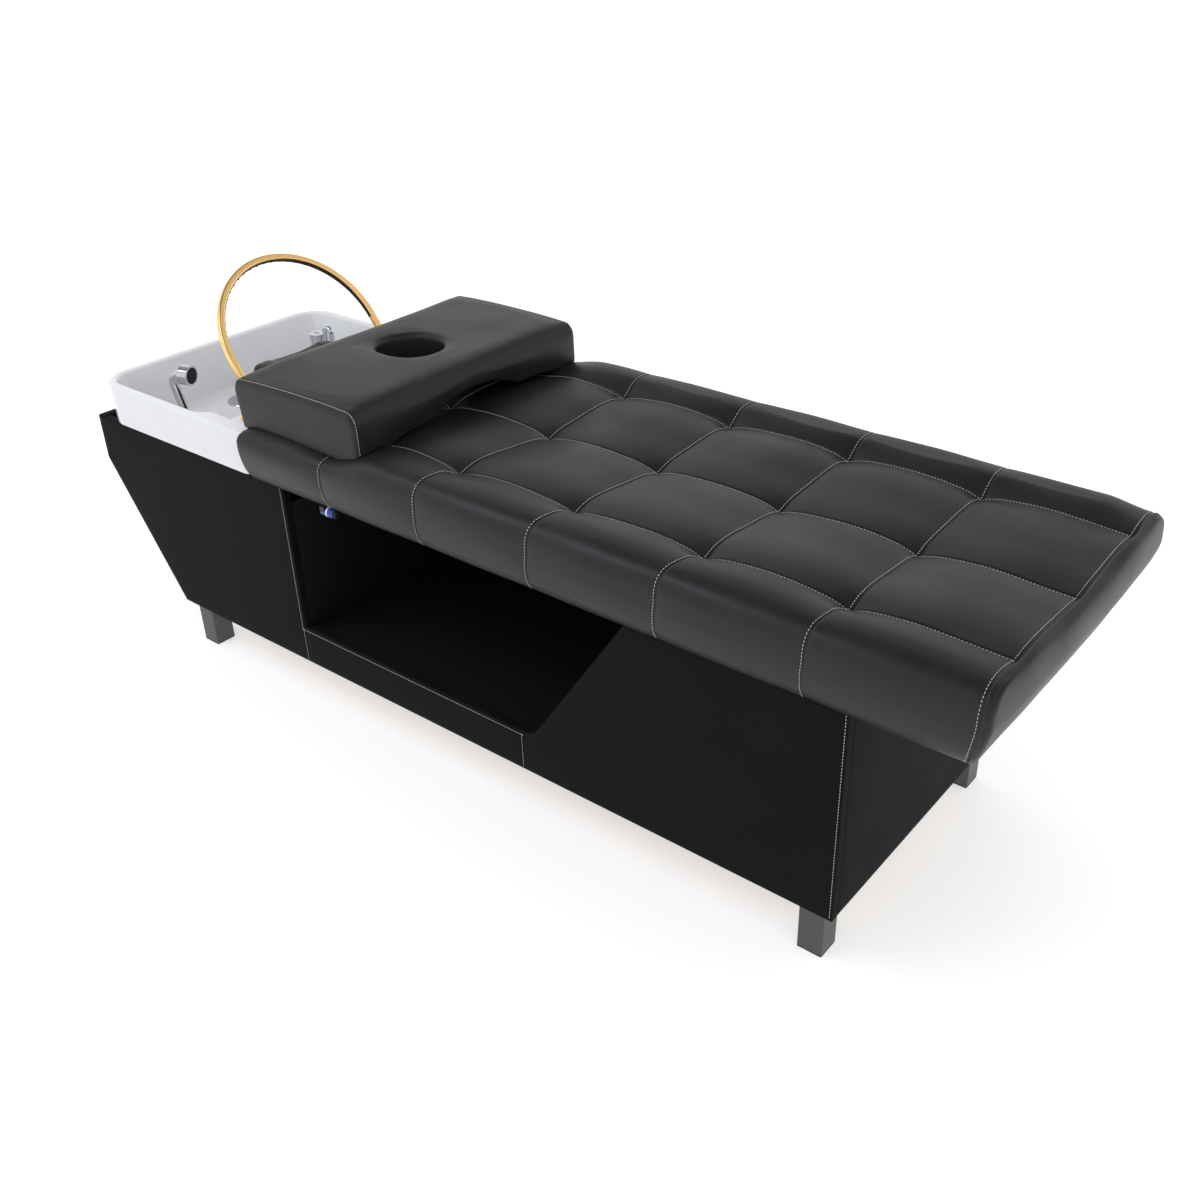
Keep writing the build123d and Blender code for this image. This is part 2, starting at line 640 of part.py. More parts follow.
def mattress_profile():
    """Side view of the mattress with a leaning head end and a bellied foot end."""
    head_low = (MATTRESS_HEAD_X + MATTRESS_END_LEAN, MATTRESS_UNDERSIDE)
    head_edge = (MATTRESS_HEAD_X, MATTRESS_BELLY_Z)
    head_mid = (MATTRESS_HEAD_X + MATTRESS_END_LEAN / 3, (head_low[1] + head_edge[1]) / 2)
    head_top = (MATTRESS_HEAD_X + MATTRESS_EDGE_ROUND / 2, MATTRESS_TOP)
    head_round = (MATTRESS_HEAD_X + MATTRESS_EDGE_DROP / 3, MATTRESS_TOP - MATTRESS_EDGE_DROP)
    foot_low = (MATTRESS_FOOT_X - MATTRESS_FOOT_LEAN, MATTRESS_UNDERSIDE)
    foot_edge = (MATTRESS_FOOT_X, MATTRESS_BELLY_Z)
    foot_mid = (MATTRESS_FOOT_X - MATTRESS_FOOT_LEAN / 4, (foot_low[1] + foot_edge[1]) / 2)
    foot_top = (FOOT_SEAM_X, MATTRESS_TOP)
    foot_round = (MATTRESS_FOOT_X - MATTRESS_EDGE_DROP, (MATTRESS_BELLY_Z + MATTRESS_TOP) / 2 + CROWN * 2)
    with BuildSketch() as face:
        with BuildLine():
            Line(head_low, foot_low)
            ThreePointArc(foot_low, foot_mid, foot_edge)
            ThreePointArc(foot_edge, foot_round, foot_top)
            Line(foot_top, head_top)
            ThreePointArc(head_top, head_round, head_edge)
            ThreePointArc(head_edge, head_mid, head_low)
        make_face()
    return face.sketch


def mattress():
    """Tufted mattress: crown, bellied sides, sewn channels and a dimple at each tuft."""
    half = BED_WIDTH / 2
    centre_x = (MATTRESS_HEAD_X + MATTRESS_FOOT_X) / 2
    length = MATTRESS_FOOT_X - MATTRESS_HEAD_X
    channel_z = MATTRESS_TOP + CHANNEL_RADIUS - CHANNEL_DEPTH
    side_y = half + SIDE_CHANNEL_RADIUS - SIDE_CHANNEL_DEPTH
    section = mattress_section()
    profile = mattress_profile()
    with BuildPart() as pad:
        with BuildSketch(Plane.YZ.offset(MATTRESS_HEAD_X)):
            add(section)
        extrude(amount=length)
        with BuildSketch(side_plane(half)):
            add(profile)
        extrude(amount=BED_WIDTH, mode=Mode.INTERSECT)
        with BuildSketch(Plane.XY.offset(MATTRESS_UNDERSIDE)):
            with Locations((centre_x, 0)):
                RectangleRounded(length, BED_WIDTH, MATTRESS_CORNER_RADIUS)
        extrude(amount=MATTRESS_TOP - MATTRESS_UNDERSIDE, mode=Mode.INTERSECT)
        for y in tuft_rows():
            with Locations((centre_x, y, channel_z)):
                Cylinder(CHANNEL_RADIUS, length + OVERRUN, rotation=(0, 90, 0), mode=Mode.SUBTRACT)
        for x in tuft_columns():
            with Locations((x, 0, channel_z)):
                Cylinder(CHANNEL_RADIUS, BED_WIDTH + OVERRUN, rotation=(90, 0, 0), mode=Mode.SUBTRACT)
            for side in (-side_y, side_y):
                post(x, side, MATTRESS_UNDERSIDE - OVERRUN, MATTRESS_TOP + OVERRUN,
                     SIDE_CHANNEL_RADIUS, mode=Mode.SUBTRACT)
            for y in tuft_rows():
                with Locations((x, y, MATTRESS_TOP + DIMPLE_RADIUS - DIMPLE_DEPTH)):
                    Sphere(DIMPLE_RADIUS, mode=Mode.SUBTRACT)
    save(pad, "mattress")


def pillow_profile():
    """Side view of the pillow, crowned on top with drawn-in sides."""
    low = PILLOW_UNDERSIDE
    high = PILLOW_TOP
    left = PILLOW_HEAD_X
    right = PILLOW_FOOT_X
    inset = PILLOW_SIDE_DRAW
    shoulder = high - PILLOW_CROWN
    corner = PILLOW_ROUND
    bevel = corner * (1 - cos(radians(45)))
    with BuildSketch() as face:
        with BuildLine():
            Polyline((left, shoulder - corner), (left + inset, low), (right - inset, low),
                     (right, shoulder - corner))
            ThreePointArc((right, shoulder - corner), (right - bevel, shoulder - bevel),
                          (right - corner, shoulder))
            ThreePointArc((right - corner, shoulder), ((left + right) / 2, high), (left + corner, shoulder))
            ThreePointArc((left + corner, shoulder), (left + bevel, shoulder - bevel),
                          (left, shoulder - corner))
        make_face()
    return face.sketch


def face_pillow():
    """Loose pillow with a face hole and a breathing tunnel that opens at the foot side."""
    half = PILLOW_WIDTH / 2
    profile = pillow_profile()
    with BuildPart() as pillow:
        with BuildSketch(side_plane(half)):
            add(profile)
        extrude(amount=PILLOW_WIDTH)
        with BuildSketch(Plane.XY.offset(PILLOW_UNDERSIDE)):
            with Locations((FACE_HOLE_X, 0)):
                SlotOverall(FACE_HOLE_LENGTH, FACE_HOLE_WIDTH)
        extrude(amount=PILLOW_THICKNESS, mode=Mode.SUBTRACT)
        hole_edges = pillow.edges().filter_by_position(
            Axis.X, FACE_HOLE_X - FACE_HOLE_LENGTH / 2, FACE_HOLE_X + FACE_HOLE_LENGTH / 2)
        fillet(hole_edges.filter_by_position(Axis.Z, PILLOW_TOP - PILLOW_CROWN, PILLOW_TOP),
               radius=FACE_HOLE_LIP)
        tunnel_start = FACE_HOLE_X - FACE_HOLE_LENGTH / 2
        foot_z = PILLOW_UNDERSIDE
        with BuildSketch(Plane.YZ.offset(tunnel_start)):
            with BuildLine():
                Line((-TUNNEL_WIDTH / 2, foot_z), (TUNNEL_WIDTH / 2, foot_z))
                ThreePointArc((TUNNEL_WIDTH / 2, foot_z), (0, foot_z + TUNNEL_HEIGHT),
                              (-TUNNEL_WIDTH / 2, foot_z))
            make_face()
        extrude(amount=PILLOW_FOOT_X - tunnel_start + OVERRUN, mode=Mode.SUBTRACT)
    save(pillow, "face_pillow")


def rounded_rectangle(low_x, high_x, half, low_radius, high_radius):
    """A rectangle with one corner radius at its low X end and one at its high X end."""
    with BuildSketch() as face:
        with BuildLine():
            Line((low_x, low_radius - half), (low_x, half - low_radius))
            RadiusArc((low_x, half - low_radius), (low_x + low_radius, half), low_radius)
            Line((low_x + low_radius, half), (high_x - high_radius, half))
            RadiusArc((high_x - high_radius, half), (high_x, half - high_radius), high_radius)
            Line((high_x, half - high_radius), (high_x, high_radius - half))
            RadiusArc((high_x, high_radius - half), (high_x - high_radius, -half), high_radius)
            Line((high_x - high_radius, -half), (low_x + low_radius, -half))
            RadiusArc((low_x + low_radius, -half), (low_x, low_radius - half), low_radius)
        make_face()
    return face.sketch


def basin():
    """Ceramic basin: upright apron on the base, bowl, neck shelf and fitting holes."""
    bowl_head = BASIN_HEAD_X + BASIN_WALL
    bowl_half = BASIN_RIM_WIDTH / 2 - BASIN_WALL
    bowl_foot = SHELF_HEAD_X + BOWL_FOOT_DRAFT * SHELF_DROP / BASIN_DEPTH
    half = BASIN_RIM_WIDTH / 2
    apron_low = rounded_rectangle(BASIN_HEAD_X + BASIN_FLARE, BASIN_FOOT_X, half - BASIN_FLARE,
                                  BASIN_CORNER_RADIUS, BASIN_FOOT_CORNER_RADIUS)
    apron_high = rounded_rectangle(BASIN_HEAD_X, BASIN_FOOT_X, half, BASIN_CORNER_RADIUS,
                                   BASIN_FOOT_CORNER_RADIUS)
    body = rounded_rectangle(BODY_HEAD_X, BODY_FOOT_X, BODY_HALF_WIDTH, BASIN_CORNER_RADIUS,
                             BASIN_FOOT_CORNER_RADIUS)
    bowl_high = rounded_rectangle(bowl_head, bowl_foot, bowl_half, BOWL_CORNER_RADIUS, BOWL_CORNER_RADIUS)
    bowl_low = rounded_rectangle(bowl_head + BOWL_DRAFT_X, bowl_foot - BOWL_FOOT_DRAFT,
                                 bowl_half - BOWL_DRAFT_Y, BOWL_CORNER_RADIUS, BOWL_CORNER_RADIUS)
    shelf = rounded_rectangle(bowl_foot - BOWL_CORNER_RADIUS, SHELF_FOOT_X, bowl_half - BOWL_DRAFT_Y,
                              SHELF_CORNER_RADIUS, SHELF_CORNER_RADIUS)
    with BuildPart() as ceramic:
        with BuildSketch(Plane.XY.offset(BASE_TOP)):
            add(apron_low)
        with BuildSketch(Plane.XY.offset(RIM_Z)):
            add(apron_high)
        loft()
        with BuildSketch(Plane.XY.offset(BASIN_UNDERSIDE)):
            add(body)
        extrude(amount=BASE_TOP - BASIN_UNDERSIDE)
        with BuildSketch(Plane.XY.offset(RIM_Z)):
            add(bowl_high)
        with BuildSketch(Plane.XY.offset(BOWL_FLOOR_Z)):
            add(bowl_low)
        loft(mode=Mode.SUBTRACT)
        floor_face = ceramic.faces().filter_by(Axis.Z).filter_by_position(
            Axis.Z, BOWL_FLOOR_Z - BASIN_FLOOR / 2, BOWL_FLOOR_Z + BASIN_FLOOR / 2)
        fillet(floor_face.edges(), radius=BOWL_FLOOR_FILLET)
        with BuildSketch(Plane.XY.offset(SHELF_Z)):
            add(shelf)
        extrude(amount=SHELF_DROP, mode=Mode.SUBTRACT)
        fillet(ceramic.edges().filter_by_position(Axis.Z, RIM_Z, RIM_Z), radius=RIM_FILLET)
        block((SHELF_HEAD_X + POCKET_WALL, BODY_FOOT_X - POCKET_WALL),
              (POCKET_WALL - BODY_HALF_WIDTH, BODY_HALF_WIDTH - POCKET_WALL),
              (BASIN_UNDERSIDE, SHELF_Z - SHELF), mode=Mode.SUBTRACT)
        post(DRAIN_X, 0, BASIN_UNDERSIDE, BOWL_FLOOR_Z, DRAIN_THROAT_RADIUS + DRAIN_CLEARANCE,
             mode=Mode.SUBTRACT)
        for x, y in ((SOCKET_X, -FITTING_Y), (MIXER_X, FITTING_Y)):
            post(x, y, BASIN_UNDERSIDE, BOWL_FLOOR_Z, SHANK_RADIUS + SHANK_CLEARANCE, mode=Mode.SUBTRACT)
        for side in (-1, 1):
            post(ARC_X, side * post_y(), SHELF_Z - SHELF, SHELF_Z, POST_SHANK_RADIUS + SHANK_CLEARANCE,
                 mode=Mode.SUBTRACT)
    save(ceramic, "basin")


def drain():
    """Chrome drain flange with its nut, and the strainer that lifts out of it."""
    lip_top = BOWL_FLOOR_Z + DRAIN_LIP
    seat_z = lip_top - STRAINER
    with BuildPart() as flange:
        post(DRAIN_X, 0, BOWL_FLOOR_Z, lip_top, DRAIN_LIP_RADIUS)
        post(DRAIN_X, 0, DRAIN_THROAT_END, BOWL_FLOOR_Z, DRAIN_THROAT_RADIUS)
        post(DRAIN_X, 0, seat_z, lip_top, STRAINER_RADIUS + STRAINER_GAP, mode=Mode.SUBTRACT)
        post(DRAIN_X, 0, DRAIN_THROAT_END, lip_top, DRAIN_THROAT_RADIUS - DRAIN_WALL, mode=Mode.SUBTRACT)
        chamfer(flange.edges().filter_by(GeomType.CIRCLE).group_by(Axis.Z)[-1].sort_by(SortBy.RADIUS)[-1],
                length=DRAIN_LIP / 2)
    save(flange, "drain_flange")
    with BuildPart() as strainer:
        post(DRAIN_X, 0, seat_z, lip_top, STRAINER_RADIUS)
        for share, count in zip(STRAINER_RING_SHARES, STRAINER_RING_COUNTS):
            with Locations((DRAIN_X, 0, seat_z)):
                with PolarLocations(share * STRAINER_RADIUS, count):
                    Cylinder(STRAINER_HOLE_RADIUS, STRAINER, mode=Mode.SUBTRACT,
                             align=(Align.CENTER, Align.CENTER, Align.MIN))
    save(strainer, "drain_strainer")
    with BuildPart() as nut:
        post(DRAIN_X, 0, BASIN_UNDERSIDE - DRAIN_NUT, BASIN_UNDERSIDE, DRAIN_NUT_RADIUS)
        post(DRAIN_X, 0, BASIN_UNDERSIDE - DRAIN_NUT, BASIN_UNDERSIDE, DRAIN_THROAT_RADIUS,
             mode=Mode.SUBTRACT)
    save(nut, "drain_nut")


def outlet_x():
    """X of the waste pipe where it passes the floor board."""
    return DRAIN_X + TRAP_FROM_DRAIN + TRAP_RADIUS + TRAP_WALL + OUTLET_RUN + WASTE_BEND


def pipe(points, bends, radius, wall):
    """A pipe along straight runs and tangent arcs, in the active part."""
    with BuildLine() as route:
        FilletPolyline(*points, radius=bends)
    with BuildSketch(Plane(origin=route.line @ 0, z_dir=route.line % 0)) as ring:
        Circle(radius)
        Circle(radius - wall, mode=Mode.SUBTRACT)
    sweep(ring.sketch, path=route.line)


def waste():
    """Waste pipe from the drain, trap, and the outlet pipe down through the floor."""
    bend_z = DRAIN_THROAT_END - WASTE_DROP - WASTE_BEND
    trap_x = DRAIN_X + TRAP_FROM_DRAIN
    stub_end = TRAP_RADIUS + TRAP_WALL
    trap_low = bend_z - TRAP_INLET_SHARE * TRAP_HEIGHT
    with BuildPart() as inlet:
        pipe([(DRAIN_X, 0, DRAIN_THROAT_END), (DRAIN_X, 0, bend_z), (trap_x - stub_end, 0, bend_z)],
             WASTE_BEND, WASTE_RADIUS, WASTE_WALL)
        post(DRAIN_X, 0, DRAIN_THROAT_END - WASTE_RADIUS, DRAIN_THROAT_END, DRAIN_THROAT_RADIUS)
        post(DRAIN_X, 0, DRAIN_THROAT_END - WASTE_RADIUS, DRAIN_THROAT_END, WASTE_RADIUS - WASTE_WALL,
             mode=Mode.SUBTRACT)
    save(inlet, "waste_inlet_pipe")
    with BuildPart() as trap:
        post(trap_x, 0, trap_low, trap_low + TRAP_HEIGHT, TRAP_RADIUS)
        post(trap_x, 0, trap_low + TRAP_WALL, trap_low + TRAP_HEIGHT - TRAP_WALL, TRAP_RADIUS - TRAP_WALL,
             mode=Mode.SUBTRACT)
        with Locations((trap_x, 0, bend_z)):
            Cylinder(WASTE_RADIUS - WASTE_WALL, 2 * TRAP_RADIUS + OVERRUN, rotation=(0, 90, 0),
                     mode=Mode.SUBTRACT)
        for end in (-1, 1):
            with Locations((trap_x + end * TRAP_RADIUS, 0, bend_z)):
                Cylinder(WASTE_RADIUS, TRAP_WALL * 2, rotation=(0, 90, 0))
                Cylinder(WASTE_RADIUS - WASTE_WALL, TRAP_WALL * 2, rotation=(0, 90, 0), mode=Mode.SUBTRACT)
    save(trap, "waste_trap")
    with BuildPart() as outlet:
        pipe([(trap_x + stub_end, 0, bend_z), (outlet_x(), 0, bend_z), (outlet_x(), 0, OUTLET_END_Z)],
             WASTE_BEND, WASTE_RADIUS, WASTE_WALL)
        post(outlet_x(), 0, OUTLET_END_Z, OUTLET_END_Z + OUTLET_CUFF_LENGTH, WASTE_RADIUS + WASTE_WALL)
        post(outlet_x(), 0, OUTLET_END_Z, OUTLET_END_Z + OUTLET_CUFF_LENGTH, WASTE_RADIUS - WASTE_WALL,
             mode=Mode.SUBTRACT)
    save(outlet, "waste_outlet_pipe")


def shower_axis():
    """Unit direction of the leaning shower handle in X and Z."""
    return -sin(radians(SHOWER_LEAN)), cos(radians(SHOWER_LEAN))


def shower_point(distance):
    """A point on the handle's axis at a distance above the bowl's floor."""
    lean_x, lean_z = shower_axis()
    return SOCKET_X + lean_x * distance, -FITTING_Y, BOWL_FLOOR_Z + lean_z * distance


def leaning_plane(distance):
    """The plane across the handle at a distance from the bowl's floor."""
    lean_x, lean_z = shower_axis()
    return Plane(origin=shower_point(distance), x_dir=(0, 1, 0), z_dir=(lean_x, 0, lean_z))


def shower_end():
    """Where the bent neck ends, level with the shower head's axis."""
    lean_x, lean_z = shower_axis()
    x, y, z = shower_point(SHOWER_HANDLE_LENGTH)
    return x + SHOWER_BEND * lean_z, y, z + SHOWER_BEND * (1 - lean_x)


def shower_socket():
    """Leaning chrome socket on the bowl's floor, held by a nut below."""
    with BuildPart() as socket:
        with BuildSketch(leaning_plane(0)):
            Circle(SOCKET_RADIUS)
        extrude(amount=SOCKET_HEIGHT)
        extrude(socket.faces().sort_by(Axis.Z)[0], amount=SOCKET_FLANGE)
        split(bisect_by=Plane.XY.offset(BOWL_FLOOR_Z), keep=Keep.TOP)
        post(SOCKET_X, -FITTING_Y, BOWL_FLOOR_Z, BOWL_FLOOR_Z + SOCKET_FLANGE, SOCKET_FLANGE_RADIUS)
        post(SOCKET_X, -FITTING_Y, BOWL_FLOOR_Z - SHANK_LENGTH, BOWL_FLOOR_Z, SHANK_RADIUS)
        with BuildSketch(leaning_plane(SOCKET_SEAT)):
            Circle(SHOWER_HANDLE_RADIUS + SOCKET_CLEARANCE)
        extrude(amount=SOCKET_HEIGHT, mode=Mode.SUBTRACT)
    save(socket, "shower_socket")
    nut_top = BASIN_UNDERSIDE
    with BuildPart() as nut:
        post(SOCKET_X, -FITTING_Y, nut_top - NUT, nut_top, NUT_RADIUS)
        post(SOCKET_X, -FITTING_Y, nut_top - NUT, nut_top, SHANK_RADIUS, mode=Mode.SUBTRACT)
    save(nut, "shower_socket_nut")


def turned(piece):
    """A finished part of the hand shower, turned about the handle's axis."""
    lean_x, lean_z = shower_axis()
    piece.part = piece.part.rotate(Axis(shower_point(0), (lean_x, 0, lean_z)), SHOWER_TURN)
    return piece


def hand_shower():
    """Hand shower, turned in its socket: handle with a bent neck, round head and nozzle face."""
    seat = SOCKET_SEAT + SOCKET_CLEARANCE
    start = shower_point(seat)
    bend_start = shower_point(SHOWER_HANDLE_LENGTH)
    end = shower_end()
    lean_x, lean_z = shower_axis()
    with BuildPart() as handle:
        with BuildLine() as route:
            Line(start, bend_start)
            TangentArc(bend_start, end, tangent=(lean_x, 0, lean_z))
        with BuildSketch(leaning_plane(seat)):
            Circle(SHOWER_HANDLE_RADIUS)
        sweep(path=route.line)
    save(turned(handle), "shower_handle")
    head_plane = Plane(origin=end, x_dir=(0, 1, 0), z_dir=(1, 0, 0))
    with BuildPart() as head:
        with BuildSketch(head_plane):
            Circle(SHOWER_HEAD_RADIUS)
        extrude(amount=SHOWER_HEAD_LENGTH)
        fillet(head.edges().group_by(Axis.X)[0], radius=SHOWER_HEAD_RADIUS / 3)
        with BuildSketch(head_plane.offset(SHOWER_HEAD_LENGTH - SHOWER_FACE)):
            Circle(SHOWER_HEAD_RADIUS - SHOWER_FACE_INSET)
        extrude(amount=SHOWER_FACE, mode=Mode.SUBTRACT)
    save(turned(head), "shower_head")
    face_plane = head_plane.offset(SHOWER_HEAD_LENGTH - SHOWER_FACE)
    with BuildPart() as face:
        with BuildSketch(face_plane):
            Circle(SHOWER_HEAD_RADIUS - SHOWER_FACE_INSET)
        extrude(amount=SHOWER_FACE - SHOWER_NOZZLE)
        for share, count in zip(SHOWER_NOZZLE_SHARES, SHOWER_NOZZLE_COUNTS):
            with BuildSketch(face_plane.offset(SHOWER_FACE - SHOWER_NOZZLE)):
                with PolarLocations(share * (SHOWER_HEAD_RADIUS - SHOWER_FACE_INSET), count):
                    Circle(SHOWER_NOZZLE_RADIUS)
            extrude(amount=SHOWER_NOZZLE)
    save(turned(face), "shower_face")


def mixer():
    """Mixer tap: body, turning knob with a slot, swan-neck spout, nut and inlets."""
    body_top = BOWL_FLOOR_Z + MIXER_HEIGHT
    root_z = BOWL_FLOOR_Z + SPOUT_ROOT_HEIGHT
    shank_low = BOWL_FLOOR_Z - SHANK_LENGTH
    with BuildPart() as body:
        post(MIXER_X, FITTING_Y, BOWL_FLOOR_Z, BOWL_FLOOR_Z + MIXER_FLANGE, MIXER_FLANGE_RADIUS)
        post(MIXER_X, FITTING_Y, BOWL_FLOOR_Z, body_top, MIXER_RADIUS)
        post(MIXER_X, FITTING_Y, shank_low, BOWL_FLOOR_Z, SHANK_RADIUS)
        post(MIXER_X, FITTING_Y, body_top - KNOB_STEM - KNOB_GAP, body_top,
             KNOB_STEM_RADIUS + KNOB_STEM_CLEARANCE, mode=Mode.SUBTRACT)
        with Locations((MIXER_X + MIXER_RADIUS, FITTING_Y, root_z)):
            Cylinder(SPOUT_RADIUS, MIXER_RADIUS, rotation=(0, 90, 0), mode=Mode.SUBTRACT)
        for side in (-1, 1):
            post(MIXER_X, FITTING_Y + side * INLET_PITCH / 2, shank_low, shank_low + INLET_SEAT, INLET_RADIUS,
                 mode=Mode.SUBTRACT)
    save(body, "mixer_body")
    with BuildPart() as knob:
        post(MIXER_X, FITTING_Y, body_top + KNOB_GAP, body_top + KNOB_GAP + KNOB, KNOB_RADIUS)
        post(MIXER_X, FITTING_Y, body_top - KNOB_STEM, body_top + KNOB_GAP, KNOB_STEM_RADIUS)
        with BuildSketch(Plane.XY.offset(body_top + KNOB_GAP + KNOB)):
            with Locations((MIXER_X, FITTING_Y)):
                SlotOverall(KNOB_SLOT_LENGTH, KNOB_SLOT_WIDTH)
        extrude(amount=-KNOB_SLOT_DEPTH, mode=Mode.SUBTRACT)
    save(knob, "mixer_knob")
    riser_x = MIXER_X + SPOUT_REACH
    mouth_x = riser_x + 2 * SPOUT_BEND
    peak_z = BOWL_FLOOR_Z + SPOUT_TOP_HEIGHT
    mouth_z = BOWL_FLOOR_Z + SPOUT_MOUTH_HEIGHT
    root_x = MIXER_X + MIXER_RADIUS / 2
    with BuildPart() as spout:
        with BuildLine(side_plane(FITTING_Y)) as route:
            Line((root_x, root_z), (riser_x - SPOUT_ELBOW, root_z))
            RadiusArc((riser_x - SPOUT_ELBOW, root_z), (riser_x, root_z + SPOUT_ELBOW), -SPOUT_ELBOW)
            Line((riser_x, root_z + SPOUT_ELBOW), (riser_x, peak_z))
            ThreePointArc((riser_x, peak_z), (riser_x + SPOUT_BEND, peak_z + SPOUT_BEND), (mouth_x, peak_z))
            Line((mouth_x, peak_z), (mouth_x, mouth_z))
        with BuildSketch(Plane(origin=(root_x, FITTING_Y, root_z), z_dir=(1, 0, 0))):
            Circle(SPOUT_RADIUS)
            Circle(SPOUT_RADIUS - SPOUT_WALL, mode=Mode.SUBTRACT)
        sweep(path=route.line)
    save(spout, "mixer_spout")
    with BuildPart() as nut:
        post(MIXER_X, FITTING_Y, BASIN_UNDERSIDE - NUT, BASIN_UNDERSIDE, NUT_RADIUS)
        post(MIXER_X, FITTING_Y, BASIN_UNDERSIDE - NUT, BASIN_UNDERSIDE, SHANK_RADIUS, mode=Mode.SUBTRACT)
    save(nut, "mixer_nut")
    with BuildPart() as inlets:
        for side in (-1, 1):
            post(MIXER_X, FITTING_Y + side * INLET_PITCH / 2, shank_low + INLET_SEAT - INLET_LENGTH,
                 shank_low + INLET_SEAT, INLET_RADIUS)
    save(inlets, "mixer_inlets")


def arc_plane():
    """The leaning plane of the water arc: its X runs along +Y and its Y along the legs."""
    tilt = radians(ARC_TILT)
    return Plane(origin=(ARC_X, 0, ARC_Z), x_dir=(0, 1, 0), z_dir=(cos(tilt), 0, sin(tilt)))


def post_y():
    """Distance of each arc post from the bed's middle plane."""
    return ARC_RADIUS + KNUCKLE_LENGTH / 2 + PIVOT_SIDE_GAP + POST_HEAD_LENGTH / 2


def water_arc():
    """Hollow flat-sided arc, its knuckles and the rubber strip of nozzles inside it."""
    with BuildPart() as arc:
        with BuildLine(arc_plane()) as route:
            Line((-ARC_RADIUS, KNUCKLE_NECK), (-ARC_RADIUS, ARC_LEG))
            ThreePointArc((-ARC_RADIUS, ARC_LEG), (0, ARC_LEG + ARC_RADIUS), (ARC_RADIUS, ARC_LEG))
            Line((ARC_RADIUS, ARC_LEG), (ARC_RADIUS, KNUCKLE_NECK))
        start = route.line @ 0
        along = route.line % 0
        with BuildSketch(Plane(origin=start, x_dir=(0, 1, 0), z_dir=along)):
            RectangleRounded(ARC_RADIAL, ARC_ACROSS, ARC_CORNER_RADIUS)
            RectangleRounded(ARC_RADIAL - 2 * ARC_WALL, ARC_ACROSS - 2 * ARC_WALL,
                             ARC_CORNER_RADIUS - ARC_WALL, mode=Mode.SUBTRACT)
        sweep(path=route.line)
    save(arc, "water_arc")
    with BuildPart() as knuckles:
        for side in (-1, 1):
            with Locations((ARC_X, side * ARC_RADIUS, ARC_Z)):
                Cylinder(KNUCKLE_RADIUS, KNUCKLE_LENGTH, rotation=(90, 0, 0))
            with BuildSketch(arc_plane().offset(-ARC_ACROSS / 2)):
                with Locations((side * ARC_RADIUS, KNUCKLE_NECK / 2)):
                    Rectangle(ARC_RADIAL, KNUCKLE_NECK)
            extrude(amount=ARC_ACROSS)
            with Locations((ARC_X, side * ARC_RADIUS, ARC_Z)):
                Cylinder(PIVOT_PIN_RADIUS + PIVOT_CLEARANCE, KNUCKLE_LENGTH + OVERRUN, rotation=(90, 0, 0),
                         mode=Mode.SUBTRACT)
    save(knuckles, "arc_knuckles")
    strip_outer = ARC_RADIUS - ARC_RADIAL / 2
    strip_inner = strip_outer - STRIP
    spread = radians(NOZZLE_ARC_ANGLE)
    step = spread / (NOZZLE_COUNT - 1)
    first = (pi - spread) / 2
    with BuildPart() as strip:
        with BuildSketch(arc_plane().offset(-STRIP_WIDTH / 2)):
            with Locations((0, ARC_LEG)):
                Circle(strip_outer)
                Circle(strip_inner, mode=Mode.SUBTRACT)
            with Locations((0, ARC_LEG)):
                Rectangle(2 * ARC_RADIUS, ARC_RADIUS, align=(Align.CENTER, Align.MAX), mode=Mode.SUBTRACT)
        extrude(amount=STRIP_WIDTH)
        for index in range(NOZZLE_COUNT):
            angle = first + index * step
            centre = arc_plane().from_local_coords(
                (strip_inner * cos(angle), ARC_LEG + strip_inner * sin(angle), 0))
            inward = arc_plane().from_local_coords((-cos(angle), -sin(angle), 0)) - Vector(ARC_X, 0, ARC_Z)
            with BuildSketch(Plane(origin=centre, z_dir=inward).offset(-STRIP / 2)):
                Circle(NOZZLE_RADIUS)
            extrude(amount=NOZZLE + STRIP / 2)
    save(strip, "arc_nozzle_strip")


def arc_posts():
    """Posts on the neck shelf that carry the arc's pivot pins, with nuts below."""
    for name, side in (("near", -1), ("far", 1)):
        y = side * post_y()
        pin_start = y - side * POST_HEAD_LENGTH / 2
        pin_length = KNUCKLE_LENGTH + PIVOT_SIDE_GAP
        with BuildPart() as stand:
            post(ARC_X, y, SHELF_Z, SHELF_Z + POST_FLANGE, POST_FLANGE_RADIUS)
            post(ARC_X, y, SHELF_Z, ARC_Z, POST_RADIUS)
            post(ARC_X, y, SHELF_Z - POST_SHANK_LENGTH, SHELF_Z, POST_SHANK_RADIUS)
            with Locations((ARC_X, y, ARC_Z)):
                Cylinder(KNUCKLE_RADIUS, POST_HEAD_LENGTH, rotation=(90, 0, 0))
            with Locations((ARC_X, pin_start - side * pin_length / 2, ARC_Z)):
                Cylinder(PIVOT_PIN_RADIUS, pin_length, rotation=(90, 0, 0))
        save(stand, f"arc_post_{name}")
    with BuildPart() as nuts:
        for side in (-1, 1):
            nut_top = SHELF_Z - SHELF
            post(ARC_X, side * post_y(), nut_top - NUT, nut_top, POST_NUT_RADIUS)
            post(ARC_X, side * post_y(), nut_top - NUT, nut_top, POST_SHANK_RADIUS, mode=Mode.SUBTRACT)
    save(nuts, "arc_post_nuts")


